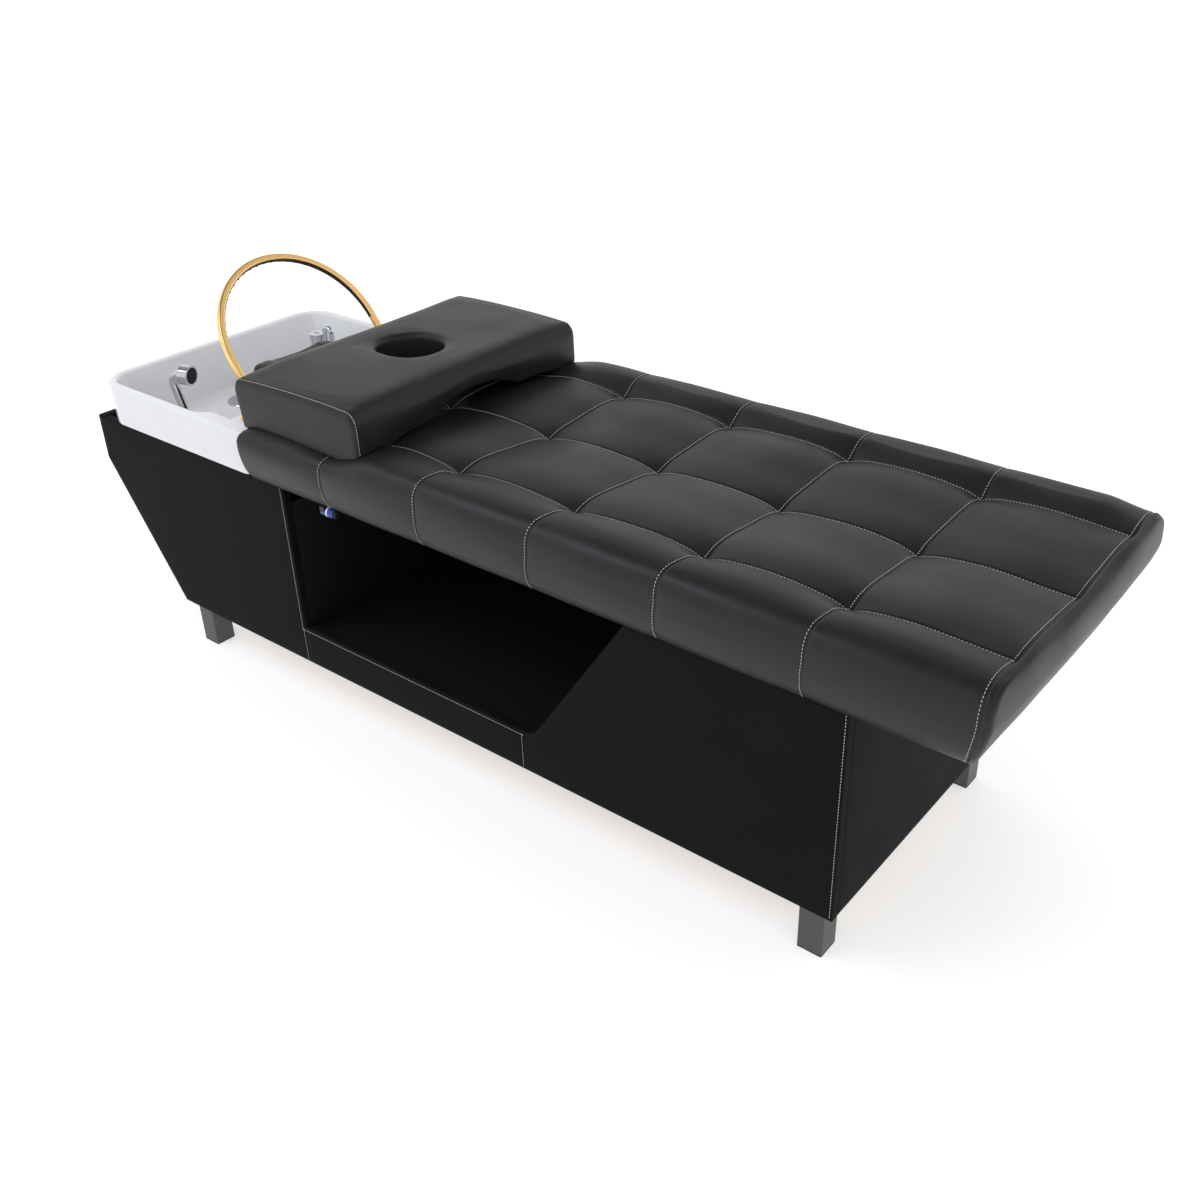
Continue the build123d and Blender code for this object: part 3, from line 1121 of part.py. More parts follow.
def neck_rest():
    """Padded neck rest with a shallow saddle, on its board over the shelf."""
    half = NECK_WIDTH / 2
    board_half = half - NECK_BOARD_INSET
    with BuildPart() as board:
        block((NECK_HEAD_X + NECK_BOARD_INSET, NECK_FOOT_X - NECK_BOARD_INSET), (-board_half, board_half),
              (SHELF_Z, NECK_Z))
    save(board, "neck_rest_board")
    with BuildPart() as pad:
        block((NECK_HEAD_X, NECK_FOOT_X), (-half, half), (NECK_Z, NECK_Z + NECK_THICKNESS))
        fillet(pad.edges().filter_by(Axis.Z), radius=NECK_ROUND)
        fillet(pad.faces().sort_by(Axis.Z)[-1].edges(), radius=NECK_ROUND)
        with Locations(((NECK_HEAD_X + NECK_FOOT_X) / 2, 0,
                        NECK_Z + NECK_THICKNESS + NECK_SADDLE_RADIUS - NECK_SADDLE_DEPTH)):
            Cylinder(NECK_SADDLE_RADIUS, NECK_LENGTH + OVERRUN, rotation=(0, 90, 0), mode=Mode.SUBTRACT)
    save(pad, "neck_rest")


def pump():
    """Circulation pump on the base floor: foot, motor, volute and two hose ports."""
    low_x = outlet_x() + WASTE_RADIUS
    x = low_x + PUMP_X_SHARE * (BULKHEAD_HEAD_X - low_x)
    axis_z = FLOOR_TOP + PUMP_FOOT + VOLUTE_RADIUS
    motor_low = PUMP_Y - PUMP_LENGTH / 2
    with BuildPart() as foot:
        block((x - PUMP_FOOT_WIDTH / 2, x + PUMP_FOOT_WIDTH / 2),
              (motor_low, motor_low + PUMP_LENGTH), (FLOOR_TOP, FLOOR_TOP + PUMP_FOOT))
        block((x - PUMP_RADIUS / 2, x + PUMP_RADIUS / 2), (motor_low, motor_low + PUMP_LENGTH),
              (FLOOR_TOP, axis_z))
        with Locations((x, PUMP_Y, axis_z)):
            Cylinder(PUMP_RADIUS, PUMP_LENGTH + OVERRUN, rotation=(90, 0, 0), mode=Mode.SUBTRACT)
    save(foot, "pump_foot")
    with BuildPart() as motor:
        with Locations((x, PUMP_Y, axis_z)):
            Cylinder(PUMP_RADIUS, PUMP_LENGTH, rotation=(90, 0, 0))
    save(motor, "pump_motor")
    volute_y = motor_low - VOLUTE_LENGTH / 2
    with BuildPart() as volute:
        with Locations((x, volute_y, axis_z)):
            Cylinder(VOLUTE_RADIUS, VOLUTE_LENGTH, rotation=(90, 0, 0))
        with Locations((x, volute_y - VOLUTE_LENGTH / 2, axis_z)):
            Cylinder(PORT_RADIUS, PORT_LENGTH * 2, rotation=(90, 0, 0))
            Cylinder(PORT_RADIUS - PORT_WALL, PORT_LENGTH * 2, rotation=(90, 0, 0), mode=Mode.SUBTRACT)
        post(x, volute_y, axis_z, axis_z + VOLUTE_RADIUS + PORT_LENGTH, PORT_RADIUS)
        post(x, volute_y, axis_z, axis_z + VOLUTE_RADIUS + PORT_LENGTH, PORT_RADIUS - PORT_WALL,
             mode=Mode.SUBTRACT)
    save(volute, "pump_volute")


def pump_switch():
    """Small pump switch under the mattress board: bracket, housing, band and end button."""
    low_x = NICHE_HEAD_X + SWITCH_FROM_NICHE
    high_x = low_x + SWITCH_LENGTH
    axis_z = BASE_TOP - SWITCH_BRACKET - SWITCH_BAND_LIFT - SWITCH_RADIUS
    across = (0, 90, 0)
    with BuildPart() as housing:
        with Locations(((low_x + high_x) / 2, -SWITCH_Y, axis_z)):
            Cylinder(SWITCH_RADIUS, SWITCH_LENGTH, rotation=across)
        with Locations((high_x, -SWITCH_Y, axis_z)):
            Cylinder(SWITCH_BUTTON_RADIUS + SWITCH_CLEARANCE,
                     2 * (SWITCH_BUTTON_ROOT + SWITCH_TRAVEL + SWITCH_CLEARANCE), rotation=across,
                     mode=Mode.SUBTRACT)
    save(housing, "switch_housing")
    band_x = (low_x + high_x) / 2
    with BuildPart() as band:
        with Locations((band_x, -SWITCH_Y, axis_z)):
            Cylinder(SWITCH_RADIUS + SWITCH_BAND_LIFT, SWITCH_BAND, rotation=across)
            Cylinder(SWITCH_RADIUS, SWITCH_BAND, rotation=across, mode=Mode.SUBTRACT)
    save(band, "switch_band")
    with BuildPart() as bracket:
        block((low_x, low_x + SWITCH_LENGTH / 3), (-SWITCH_Y - SWITCH_RADIUS, SWITCH_RADIUS - SWITCH_Y),
              (axis_z, BASE_TOP))
        with Locations((band_x, -SWITCH_Y, axis_z)):
            Cylinder(SWITCH_RADIUS, SWITCH_LENGTH, rotation=across, mode=Mode.SUBTRACT)
    save(bracket, "switch_bracket")
    button_x = high_x - SWITCH_BUTTON_ROOT
    with BuildPart() as button:
        with Locations((button_x + SWITCH_BUTTON / 2, -SWITCH_Y, axis_z)):
            Cylinder(SWITCH_BUTTON_RADIUS, SWITCH_BUTTON, rotation=across)
        fillet(button.edges().group_by(Axis.X)[-1], radius=SWITCH_BUTTON_RADIUS / 2)
    save(button, "switch_button")


side_panel("near", open_side(), -BASE_WIDTH / 2, 1)
side_panel("far", plain_side(), BASE_WIDTH / 2, -1)
head_end()
foot_end()
base_floor()
partitions()
battens()
legs()
mattress_board()
mattress()
face_pillow()
basin()
drain()
waste()
shower_socket()
hand_shower()
mixer()
water_arc()
arc_posts()
neck_rest()
pump()
pump_switch()
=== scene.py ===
import json
import math

import bmesh
import bpy
import numpy as np
from mathutils import Matrix, Vector, noise
from mathutils.bvhtree import BVHTree


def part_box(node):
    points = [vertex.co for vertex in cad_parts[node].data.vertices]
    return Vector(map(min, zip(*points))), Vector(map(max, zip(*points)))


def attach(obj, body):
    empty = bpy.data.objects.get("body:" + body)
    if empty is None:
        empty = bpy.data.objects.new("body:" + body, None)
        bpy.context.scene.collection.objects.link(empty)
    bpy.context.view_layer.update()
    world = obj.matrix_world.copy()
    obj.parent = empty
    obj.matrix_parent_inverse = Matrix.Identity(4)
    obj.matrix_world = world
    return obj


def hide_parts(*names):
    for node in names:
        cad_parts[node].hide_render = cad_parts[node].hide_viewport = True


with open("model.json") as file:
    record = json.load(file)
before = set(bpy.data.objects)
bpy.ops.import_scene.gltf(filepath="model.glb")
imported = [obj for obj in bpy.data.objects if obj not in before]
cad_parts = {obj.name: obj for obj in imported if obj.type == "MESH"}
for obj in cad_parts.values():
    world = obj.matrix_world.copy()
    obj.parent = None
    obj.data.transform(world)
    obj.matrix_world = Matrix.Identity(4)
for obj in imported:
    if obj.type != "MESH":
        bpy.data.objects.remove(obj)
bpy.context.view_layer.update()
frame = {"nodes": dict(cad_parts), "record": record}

bl_info = {
    "name": "Hair washing bed",
    "version": (1, 0, 0),
    "blender": (4, 5, 0),
    "location": "View3D > Sidebar > Washing bed",
    "description": "Dresses the lie-down hair washing bed: sewn pads, covers, fittings and studio",
    "category": "Add Mesh",
}

MM = 0.001
MATTRESS_LOW, MATTRESS_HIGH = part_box("mattress")
BOARD_LOW, BOARD_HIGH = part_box("mattress_board")
PILLOW_LOW, PILLOW_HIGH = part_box("face_pillow")
BASE_LOW, BASE_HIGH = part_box("near_side_cover")
HEAD_COVER_LOW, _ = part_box("head_end_cover")
NECK_LOW, NECK_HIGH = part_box("neck_rest")

# Tufting plan of the mattress: cross seams over the width, rows along the length
TUFT_ROWS = (-0.236, 0.0, 0.236)
TUFT_COLUMNS = (-0.273, -0.002, 0.269, 0.540, 0.811, 1.082)

BASE_HALF_WIDTH = 0.320

# Storage opening in the near side panel
OPENING_HEAD_X = -0.464
OPENING_CORNER_X = 0.204
OPENING_SILL_Z = 0.192


# Sizes and colours that a user may change

def mm(name, text, value, low=0.0, high=1000.0):
    """A length property that is typed in millimetres and kept in metres."""
    return bpy.props.FloatProperty(name=name, description=text, default=value * MM,
                                   min=low * MM, max=high * MM, unit="LENGTH")


def tint(name, text, value):
    """A colour property written as an sRGB hex value."""
    return bpy.props.StringProperty(name=name, description=text, default=value)


def number(name, text, value, low, high):
    """A plain number property."""
    return bpy.props.FloatProperty(name=name, description=text, default=value, min=low, max=high)


class WashingBedPads(bpy.types.PropertyGroup):
    """Shape of the sewn pads."""
    tuft_depth: mm("Tuft depth", "How far a tuft lies below the top of the cells", 24)
    row_rise: mm("Row seam rise", "How far a lengthwise seam rises between two tufts", 15.5)
    cross_rise: mm("Cross seam rise", "How far a cross seam rises between two tufts", 14)
    side_dent: mm("Side dent", "How far a cross seam draws in the rolled sides", 5.5)
    swell: mm("Swell", "Most that the filling pushes the cover out", 6)
    groove: mm("Seam groove", "Depth of the valley along a seam", 1.7)


class WashingBedSewing(bpy.types.PropertyGroup):
    """Stitches along the seams."""
    pitch: mm("Stitch pitch", "Distance from one stitch to the next", 6.3)
    length: mm("Stitch length", "Thread that shows in one stitch", 4.6)
    thread: mm("Thread", "Diameter of the thread, drawn coarse enough to show", 1.3)
    beside: mm("Distance to seam", "How far the stitches run beside the seam", 3.2)
    colour: tint("Thread colour", "Polyester topstitch thread", "#d6d3ca")


class WashingBedFinishes(bpy.types.PropertyGroup):
    """Colours of the finishes."""
    pad_leather: tint("Pad leather", "Artificial leather of the pads", "#1e1d1e")
    base_leather: tint("Base leather", "Artificial leather of the base", "#171718")
    ceramic: tint("Ceramic", "White sanitary glaze", "#eeeff1")
    gold: tint("Gold", "Gold plating of the water arc", "#ffd28a")
    chrome: tint("Chrome", "Chromium plating of the fittings", "#c9cbce")
    leg_steel: tint("Leg steel", "Brushed steel of the legs", "#57595b")
    laminate: tint("Laminate", "Matt lining of the storage space", "#0c0c0e")
    grain: mm("Leather grain", "Size of the embossed grain, drawn coarse enough to show", 2.4)


class WashingBedStudio(bpy.types.PropertyGroup):
    """Camera and light."""
    focal: number("Focal length", "Lens of the camera in millimetres", 38.765, 10, 200)
    wall: number("Wall light", "Light from the white walls", 1.08, 0, 5)
    window: number("Window light", "Power of the cool soft lamp in watts", 16, 0, 2000)


GROUPS = {
    "bed_pads": WashingBedPads,
    "bed_sewing": WashingBedSewing,
    "bed_finishes": WashingBedFinishes,
    "bed_studio": WashingBedStudio,
}


# Materials

def linear(hex_colour):
    """An sRGB hex colour as the linear colour that shaders take."""
    parts = [int(hex_colour[i:i + 2], 16) / 255 for i in (1, 3, 5)]
    parts = [c / 12.92 if c <= 0.04045 else ((c + 0.055) / 1.055) ** 2.4 for c in parts]
    return (*parts, 1.0)


def add_node(tree, kind, inputs=None, **settings):
    """Add a shader node; an input takes a value, another node's output or a node's first output."""
    made = tree.nodes.new("ShaderNode" + kind)
    for name, value in settings.items():
        setattr(made, name, value)
    for socket, value in (inputs or {}).items():
        if isinstance(value, bpy.types.Node):
            value = value.outputs[0]
        if isinstance(value, bpy.types.NodeSocket):
            tree.links.new(value, made.inputs[socket])
        else:
            made.inputs[socket].default_value = value
    return made


def empty_tree(owner):
    """The cleared node tree of a material or world."""
    owner.use_nodes = True
    owner.node_tree.nodes.clear()
    return owner.node_tree


def shades(tree, factor, stops):
    """A colour ramp over a factor from pairs of position and colour."""
    ramp = add_node(tree, "ValToRGB", {"Fac": factor})
    elements = ramp.color_ramp.elements
    elements[0].position, elements[0].color = stops[0]
    elements[1].position, elements[1].color = stops[-1]
    for position, colour in stops[1:-1]:
        elements.new(position).color = colour
    return ramp.outputs["Color"]


def dimmed(colour, share):
    """A linear colour made darker or lighter by a share."""
    return (*[min(1.0, c * share) for c in colour[:3]], 1.0)


class Surface:
    """A material with one Principled shader, and the patterns that drive it."""

    def __init__(self, name, shader):
        self.material = bpy.data.materials.new(name)
        self.tree = empty_tree(self.material)
        self.shader = add_node(self.tree, "BsdfPrincipled", shader)
        add_node(self.tree, "OutputMaterial", {"Surface": self.shader})
        self.place = add_node(self.tree, "TexCoord").outputs["Object"]

    def stretched(self, scale):
        """Stretch the patterns made from here on."""
        self.place = add_node(self.tree, "Mapping",
                              {"Vector": self.place, "Scale": scale}).outputs[0]

    def pattern(self, kind, inputs, output=0, **settings):
        """One output of a texture over the object."""
        return add_node(self.tree, kind, {"Vector": self.place, **inputs}, **settings).outputs[output]

    def noise(self, scale, detail, **inputs):
        """A noise texture over the object."""
        return self.pattern("TexNoise", {"Scale": scale, "Detail": detail, **inputs})

    def colour(self, factor, stops):
        """Colour the surface by a pattern."""
        self.tree.links.new(shades(self.tree, factor, stops), self.shader.inputs["Base Color"])

    def roughness(self, factor, low, high, start=0.0, end=1.0):
        """Roughness from low to high while a pattern goes from start to end."""
        spread = add_node(self.tree, "MapRange", {
            "Value": factor, "From Min": start, "From Max": end, "To Min": low, "To Max": high})
        self.tree.links.new(spread.outputs[0], self.shader.inputs["Roughness"])

    def emboss(self, height, strength, distance, under=None):
        """Relief by a pattern, over another relief."""
        bump = add_node(self.tree, "Bump", {
            "Height": height, "Strength": strength, "Distance": distance,
            **({"Normal": under} if under else {})})
        self.tree.links.new(bump.outputs[0], self.shader.inputs["Normal"])
        return bump.outputs[0]


def artificial_leather(name, hex_colour, roughness, specular, grain):
    """Semi-matt PU leather: embossed pebble grain, soft creases and slightly uneven sheen."""
    colour = linear(hex_colour)
    skin = Surface(name, {"IOR": 1.5, "Specular IOR Level": specular})
    # Large soft patches, about 150 mm, where the cover is stretched or handled
    patches = skin.noise(7, 3)
    skin.colour(patches, [(0.3, dimmed(colour, 0.86)), (0.7, dimmed(colour, 1.18))])
    skin.roughness(patches, roughness - 0.04, roughness + 0.05, 0.3, 0.7)
    # Embossed pebbles, real ones about 1 mm, drawn coarser so that they show
    pebbles = skin.pattern("TexVoronoi", {"Scale": 1 / grain, "Randomness": 0.9},
                           feature="SMOOTH_F1")
    skin.emboss(skin.noise(38, 5), 0.14, 0.002, skin.emboss(pebbles, 0.10, 0.0004))
    return skin.material


def polyester_thread(name, hex_colour):
    """Twisted topstitch thread: matt fibres with a faint sheen."""
    thread = Surface(name, {"Base Color": linear(hex_colour), "Roughness": 0.62, "Sheen Weight": 0.3})
    # Plies of the thread, about 0.6 mm
    plies = thread.pattern("TexWave", {"Scale": 260, "Distortion": 1.5}, "Fac",
                           bands_direction="DIAGONAL")
    thread.emboss(plies, 0.3, 0.0002)
    return thread.material


def sanitary_ceramic(name, hex_colour):
    """Glazed vitreous china: wet gloss over a body with very soft waves in the glaze."""
    colour = linear(hex_colour)
    glaze = Surface(name, {"IOR": 1.52, "Roughness": 0.12, "Coat Weight": 0.4, "Coat Roughness": 0.04})
    # The glaze pools slightly uneven over some 60 mm
    pools = glaze.noise(16, 2)
    glaze.colour(pools, [(0.2, dimmed(colour, 0.96)), (0.8, colour)])
    glaze.emboss(pools, 0.08, 0.002)
    return glaze.material


def plated_metal(name, hex_colour, roughness):
    """Electroplated and polished metal with faint wiping marks in its gloss."""
    plating = Surface(name, {"Base Color": linear(hex_colour), "Metallic": 1.0})
    # Water marks and wiping traces, 10 to 20 mm across
    plating.roughness(plating.noise(70, 6), roughness * 0.7, roughness * 1.7, 0.35, 0.75)
    return plating.material


def brushed_metal(name, hex_colour, roughness, stretch):
    """Brushed metal: fine parallel lines across the given stretch of each axis."""
    colour = linear(hex_colour)
    metal = Surface(name, {"Metallic": 1.0})
    metal.stretched(stretch)
    # Brush lines of about 0.5 mm, several centimetres long
    lines = metal.noise(900, 3)
    metal.colour(lines, [(0.3, dimmed(colour, 0.82)), (0.7, dimmed(colour, 1.1))])
    metal.roughness(lines, roughness - 0.08, roughness + 0.12)
    metal.emboss(lines, 0.12, 0.0002)
    return metal.material


def moulded_plastic(name, hex_colour, roughness, texture):
    """Injection moulded plastic with a spark-eroded texture of the given grit."""
    colour = linear(hex_colour)
    plastic = Surface(name, {"IOR": 1.5})
    grit = plastic.noise(1 / texture, 4)
    plastic.colour(grit, [(0.3, dimmed(colour, 0.92)), (0.7, dimmed(colour, 1.06))])
    plastic.roughness(grit, roughness - 0.05, roughness + 0.08)
    plastic.emboss(grit, 0.15, 0.0003)
    return plastic.material


def sawn_timber(name, light_hex, dark_hex, ring):
    """Planed softwood or birch face veneer: growth lines along X with fine fibres."""
    wood = Surface(name, {"Roughness": 0.62, "IOR": 1.45})
    wood.stretched((0.06, 1, 1))
    # Growth rings about 6 to 12 mm apart
    rings = wood.noise(1 / ring, 4, Distortion=0.8)
    wood.colour(rings, [(0.35, linear(dark_hex)), (0.6, linear(light_hex))])
    wood.emboss(wood.noise(700, 2), 0.2, 0.0003)
    return wood.material


def finishes():
    """Real name, kind and values of each finish by the name of the record's slot."""
    chosen, thread = bpy.context.scene.bed_finishes, bpy.context.scene.bed_sewing.colour
    return {
        "pad_leather": ("PU leather, pads", artificial_leather, chosen.pad_leather, 0.42, 0.31,
                        chosen.grain),
        "base_leather": ("PU leather, base", artificial_leather, chosen.base_leather, 0.58, 0.04,
                         chosen.grain),
        "thread": ("Polyester thread", polyester_thread, thread),
        "white_ceramic": ("Glazed vitreous china", sanitary_ceramic, chosen.ceramic),
        "gold_brass": ("Gold plated brass", plated_metal, chosen.gold, 0.2),
        "chrome": ("Chromium plated brass", plated_metal, chosen.chrome, 0.09),
        "brass": ("Turned brass", brushed_metal, "#c9a25a", 0.3, (1, 1, 0.1)),
        "leg_steel": ("Brushed steel", brushed_metal, chosen.leg_steel, 0.38, (1, 1, 0.03)),
        "zinc_steel": ("Zinc plated steel", brushed_metal, "#b6babd", 0.42, (1, 1, 1)),
        "motor_aluminium": ("Cast aluminium", brushed_metal, "#a9adb0", 0.5, (1, 0.2, 1)),
        "black_laminate": ("Matt HPL laminate", moulded_plastic, chosen.laminate, 0.55, 0.002),
        "black_plastic": ("Moulded polypropylene", moulded_plastic, "#161617", 0.5, 0.0012),
        "black_rubber": ("Silicone rubber", moulded_plastic, "#17171a", 0.7, 0.0015),
        "white_plastic": ("Moulded PVC", moulded_plastic, "#e6e6e2", 0.4, 0.0015),
        "blue_plastic": ("Glossy ABS", moulded_plastic, "#1b3f9c", 0.28, 0.002),
        "plywood": ("Birch plywood", sawn_timber, "#cfae7f", "#b08a58", 0.009),
        "timber": ("Planed pine", sawn_timber, "#d7b884", "#b48f58", 0.012),
        "stained_wood": ("Black stained plywood", sawn_timber, "#1d1b1a", "#111010", 0.009),
    }


def material_of(slot):
    """The finished material of a slot, made once."""
    name, kind, *values = finishes()[slot]
    return bpy.data.materials.get(name) or kind(name, *values)


# Shared modelling steps

def only(piece):
    """Make one piece the whole selection and the active object."""
    bpy.ops.object.select_all(action="DESELECT")
    piece.select_set(True)
    bpy.context.view_layer.objects.active = piece


def placed(name, data):
    """An object with the data, in the bed's frame."""
    piece = bpy.data.objects.new(name, data)
    bpy.context.scene.collection.objects.link(piece)
    return piece


def new_piece(name, points, faces):
    """A mesh object from points and faces."""
    mesh = bpy.data.meshes.new(name)
    mesh.from_pydata([tuple(p) for p in points], [], faces)
    mesh.update()
    return placed(name, mesh)


def copy_of(node, name):
    """A closed copy of a CAD node's mesh, its loose triangles merged."""
    piece = placed(name, frame["nodes"][node].data.copy())
    piece.data.materials.clear()
    while piece.data.attributes.get("custom_normal"):
        piece.data.attributes.remove(piece.data.attributes["custom_normal"])
    shape = bmesh.new()
    shape.from_mesh(piece.data)
    bmesh.ops.remove_doubles(shape, verts=shape.verts, dist=2e-6)
    shape.to_mesh(piece.data)
    shape.free()
    return piece


def soft_copy_of(node, name, spacing):
    """A copy of a CAD node with an even mesh and softened edges."""
    piece = copy_of(node, name)
    grid = piece.modifiers.new("Even mesh", "REMESH")
    grid.mode, grid.voxel_size = "VOXEL", spacing
    soften = piece.modifiers.new("Soft edges", "SMOOTH")
    soften.factor, soften.iterations = 0.5, 2
    only(piece)
    for modifier in ("Even mesh", "Soft edges"):
        bpy.ops.object.modifier_apply(modifier=modifier)
    return piece


def points_of(piece, field="co"):
    """The piece's points as an array, or with the field "normal" their outward normals."""
    values = np.zeros(len(piece.data.vertices) * 3)
    piece.data.vertices.foreach_get(field, values)
    return values.reshape(-1, 3)


def move_points(piece, points):
    """Write points back into the piece."""
    piece.data.vertices.foreach_set("co", np.ascontiguousarray(points, dtype=float).ravel())
    piece.data.update()


def ease(value):
    """A smooth step from 0 to 1."""
    value = np.clip(value, 0, 1)
    return value * value * (3 - 2 * value)


def finish_piece(piece, body, slot, replaced=(), finish=None, angle=60):
    """Smooth a piece, give it its finish and tie it to its body."""
    only(piece)
    piece.data.materials.clear()
    piece.data.materials.append(material_of(finish or slot))
    bpy.ops.object.shade_smooth_by_angle(angle=math.radians(angle))
    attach(piece, body)
    if replaced:
        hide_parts(*replaced)
    return piece


def evened(piece, values, rounds):
    """Values at the piece's points, averaged with their neighbours' some rounds."""
    ends = np.zeros(len(piece.data.edges) * 2, dtype=np.int64)
    piece.data.edges.foreach_get("vertices", ends)
    first, second, count = ends[0::2], ends[1::2], len(values)
    share = np.bincount(first, minlength=count) + np.bincount(second, minlength=count)
    share = np.maximum(share, 1)[:, None]
    for _ in range(rounds):
        summed = [np.bincount(first, line[second], count) + np.bincount(second, line[first], count)
                  for line in values.T]
        values = (values + np.stack(summed, axis=1) / share) / 2
    return values


def swell_with_filling(piece, held, pressure, cap, rounds=0, frames=20):
    """Blow a cover up over its filling: held points stay, others move by at most the cap."""
    start = points_of(piece)
    sewn = piece.vertex_groups.new(name="sewn")
    sewn.add([int(i) for i in np.nonzero(held)[0]], 1.0, "REPLACE")
    cloth = piece.modifiers.new("Filling", "CLOTH")
    settings = cloth.settings
    settings.vertex_group_mass = "sewn"
    settings.use_pressure, settings.uniform_pressure_force = True, pressure
    settings.effector_weights.gravity = 0
    settings.bending_stiffness = 2.0
    cloth.collision_settings.use_collision = False
    for number in range(1, frames + 1):
        bpy.context.scene.frame_set(number)
    travel = points_of(piece.evaluated_get(bpy.context.evaluated_depsgraph_get())) - start
    reach = np.linalg.norm(travel, axis=1)
    travel *= (np.minimum(reach, cap) / np.maximum(reach, 1e-9))[:, None]
    piece.modifiers.remove(cloth)
    piece.vertex_groups.remove(sewn)
    bpy.context.scene.frame_set(1)
    move_points(piece, start + evened(piece, travel, rounds))


# Mattress

def half_span(length, fine, coarse, reach):
    """Distances from a seam to the middle of a cell, close at the seam and wider away from it."""
    steps = [0.0]
    while steps[-1] < length:
        steps.append(steps[-1] + fine + (coarse - fine) * min(1.0, steps[-1] / reach))
    return [step * length / steps[-1] for step in steps]


def lattice_lines(low, high, seams, fine, coarse):
    """Coordinates of the lattice from low to high, close together beside each seam and edge."""
    inner_low, inner_high = low + CORNER_ZONE, high - CORNER_ZONE
    quarters = np.arange(5) * CORNER_ZONE / 4
    stops = [inner_low, *[seam for seam in seams if inner_low < seam < inner_high], inner_high]
    lines = [*(low + quarters)]
    for start, end in zip(stops, stops[1:]):
        steps = half_span((end - start) / 2, fine, coarse, 0.05)
        lines += [start + step for step in steps[1:]] + [end - step for step in reversed(steps[:-1])]
    lines += [*(inner_high + quarters[1:])]
    return np.array([line for before, line in zip([low - 1, *lines], lines) if line - before > 1e-6])


SHOULDER_Y = 0.300
SHOULDER_HEAD_X = -0.520
SHOULDER_FOOT_X = 1.100
CORNER_ZONE = 0.014
BELLY_Z = 0.618
CELL_TOP_Z = 0.6715
BORDER_SEAM_SHARE = 0.62
SEAM_SHARPNESS = 0.74
# Share of a cross seam's dip that is gone where it meets the rolled side
SIDE_RUN_OUT = 0.72
# How far the head end's roll has settled under the pillow's ends
HEAD_SETTLE = 0.019
# How far the filled cover stands proud of its foam, at the sides and along the outer strips
PROUD = 0.009
# Foot cap: where it turns in over the board, and how full it is at its corners and middle
CAP_TUCK_X = 1.0715
CAP_CORNER_X = 1.103
CAP_MIDDLE_X = 1.112
UPPER_RINGS = 10
# Drift of the cross seams on the near side, by their place: at the row of tufts and at the bottom
DRIFT_X = (-0.520, -0.400, -0.273, -0.002, 0.269, 0.540, 0.811, 0.960, 1.040)
DRIFT_ROW = (0, -0.006, -0.012, -0.015, -0.005, 0.003, 0.004, 0.001, 0)
DRIFT_LOW = (0, -0.014, -0.028, -0.037, -0.036, -0.029, -0.017, -0.006, 0)
# How much fuller the far side's strip is than the near one's
FAR_RISE = 0.010
# Lower sides and the skirt beside the mattress board: height, draw of the long sides, draw of
# the head end, fullness of the foot cap and share of the dent
LOWER_RINGS = (
    (0.609, 0.0002, 0.0001, 0.96, 1.0), (0.599, 0.0011, 0.0004, 0.89, 0.95),
    (0.580, 0.0047, 0.0012, 0.73, 0.85), (0.561, 0.0108, 0.0022, 0.52, 0.7),
    (0.546, 0.0188, 0.0034, 0.31, 0.6), (0.5365, 0.0264, 0.0046, 0.15, 0.5),
    (0.5325, 0.0310, 0.0062, 0.06, 0.4), (0.5306, 0.0340, 0.0090, 0.0, 0.3),
)


def lift_lengthwise(x):
    """0 on a cross seam of the mattress and 1 in the middle between two of them."""
    columns, last_cell = np.array(TUFT_COLUMNS), len(TUFT_COLUMNS) - 2
    cell = np.clip(np.searchsorted(columns, x) - 1, 0, last_cell)
    share = np.clip((x - columns[cell]) / (columns[cell + 1] - columns[cell]), 0, 1)
    lift = np.sin(np.pi * share) ** SEAM_SHARPNESS
    lift = lift + (cell == last_cell) * (1 - lift) * BORDER_SEAM_SHARE * ease((share - 0.5) * 2)
    head = np.sin(np.pi / 2 * np.clip((columns[0] - x) / 0.12, 0, 1)) ** SEAM_SHARPNESS
    foot = BORDER_SEAM_SHARE + (1 - BORDER_SEAM_SHARE) * 0.6 * ease((x - columns[-1]) / 0.010)
    return np.where(x < columns[0], head, np.where(x > columns[-1], foot, lift))


def lift_across(y):
    """0 on a lengthwise seam of the mattress and 1 in the middle between two of them."""
    y, row = np.abs(y), TUFT_ROWS[-1]
    inner = np.sin(np.pi * np.clip(y / row, 0, 1)) ** SEAM_SHARPNESS
    outer = np.sin(np.pi / 2 * np.clip((y - row) / 0.070, 0, 1)) ** SEAM_SHARPNESS
    return np.where(y <= row, inner, outer)


def settled(x, y):
    """How far the head end's rolled sides have settled."""
    share = 1 - 0.55 * ease((y - 0.1) / 0.1)
    return HEAD_SETTLE * share * ease((np.abs(y) - 0.24) / 0.08) * ease((-0.13 - x) / 0.13)


# Reach over the side of the row of tufts and of the mattress's bottom, the shoulder's being 1
ROW_REACH, BOTTOM_REACH = 0.787, 1.7


def nearest(values, marks):
    """Distance of each value to the nearest of some marks."""
    return np.min([np.abs(values - mark) for mark in marks], axis=0)


def drift(x, reach):
    """How far the cross seams drift along X; reach is -1 at the near shoulder, 1 at the far one."""
    near, far = np.clip(-reach, 0, None), np.clip(reach, 0, 1.3)
    at_row, low = np.interp(x, DRIFT_X, DRIFT_ROW), np.interp(x, DRIFT_X, DRIFT_LOW)
    below_row = np.clip((near - ROW_REACH) / (BOTTOM_REACH - ROW_REACH), 0, 1)
    near_drift = at_row * np.clip(near / ROW_REACH, 0, 1) + (low - at_row) * below_row
    return near_drift + 0.005 * far * ease((x + 0.52) / 0.12) * (1 - ease((x - 0.84) / 0.2))


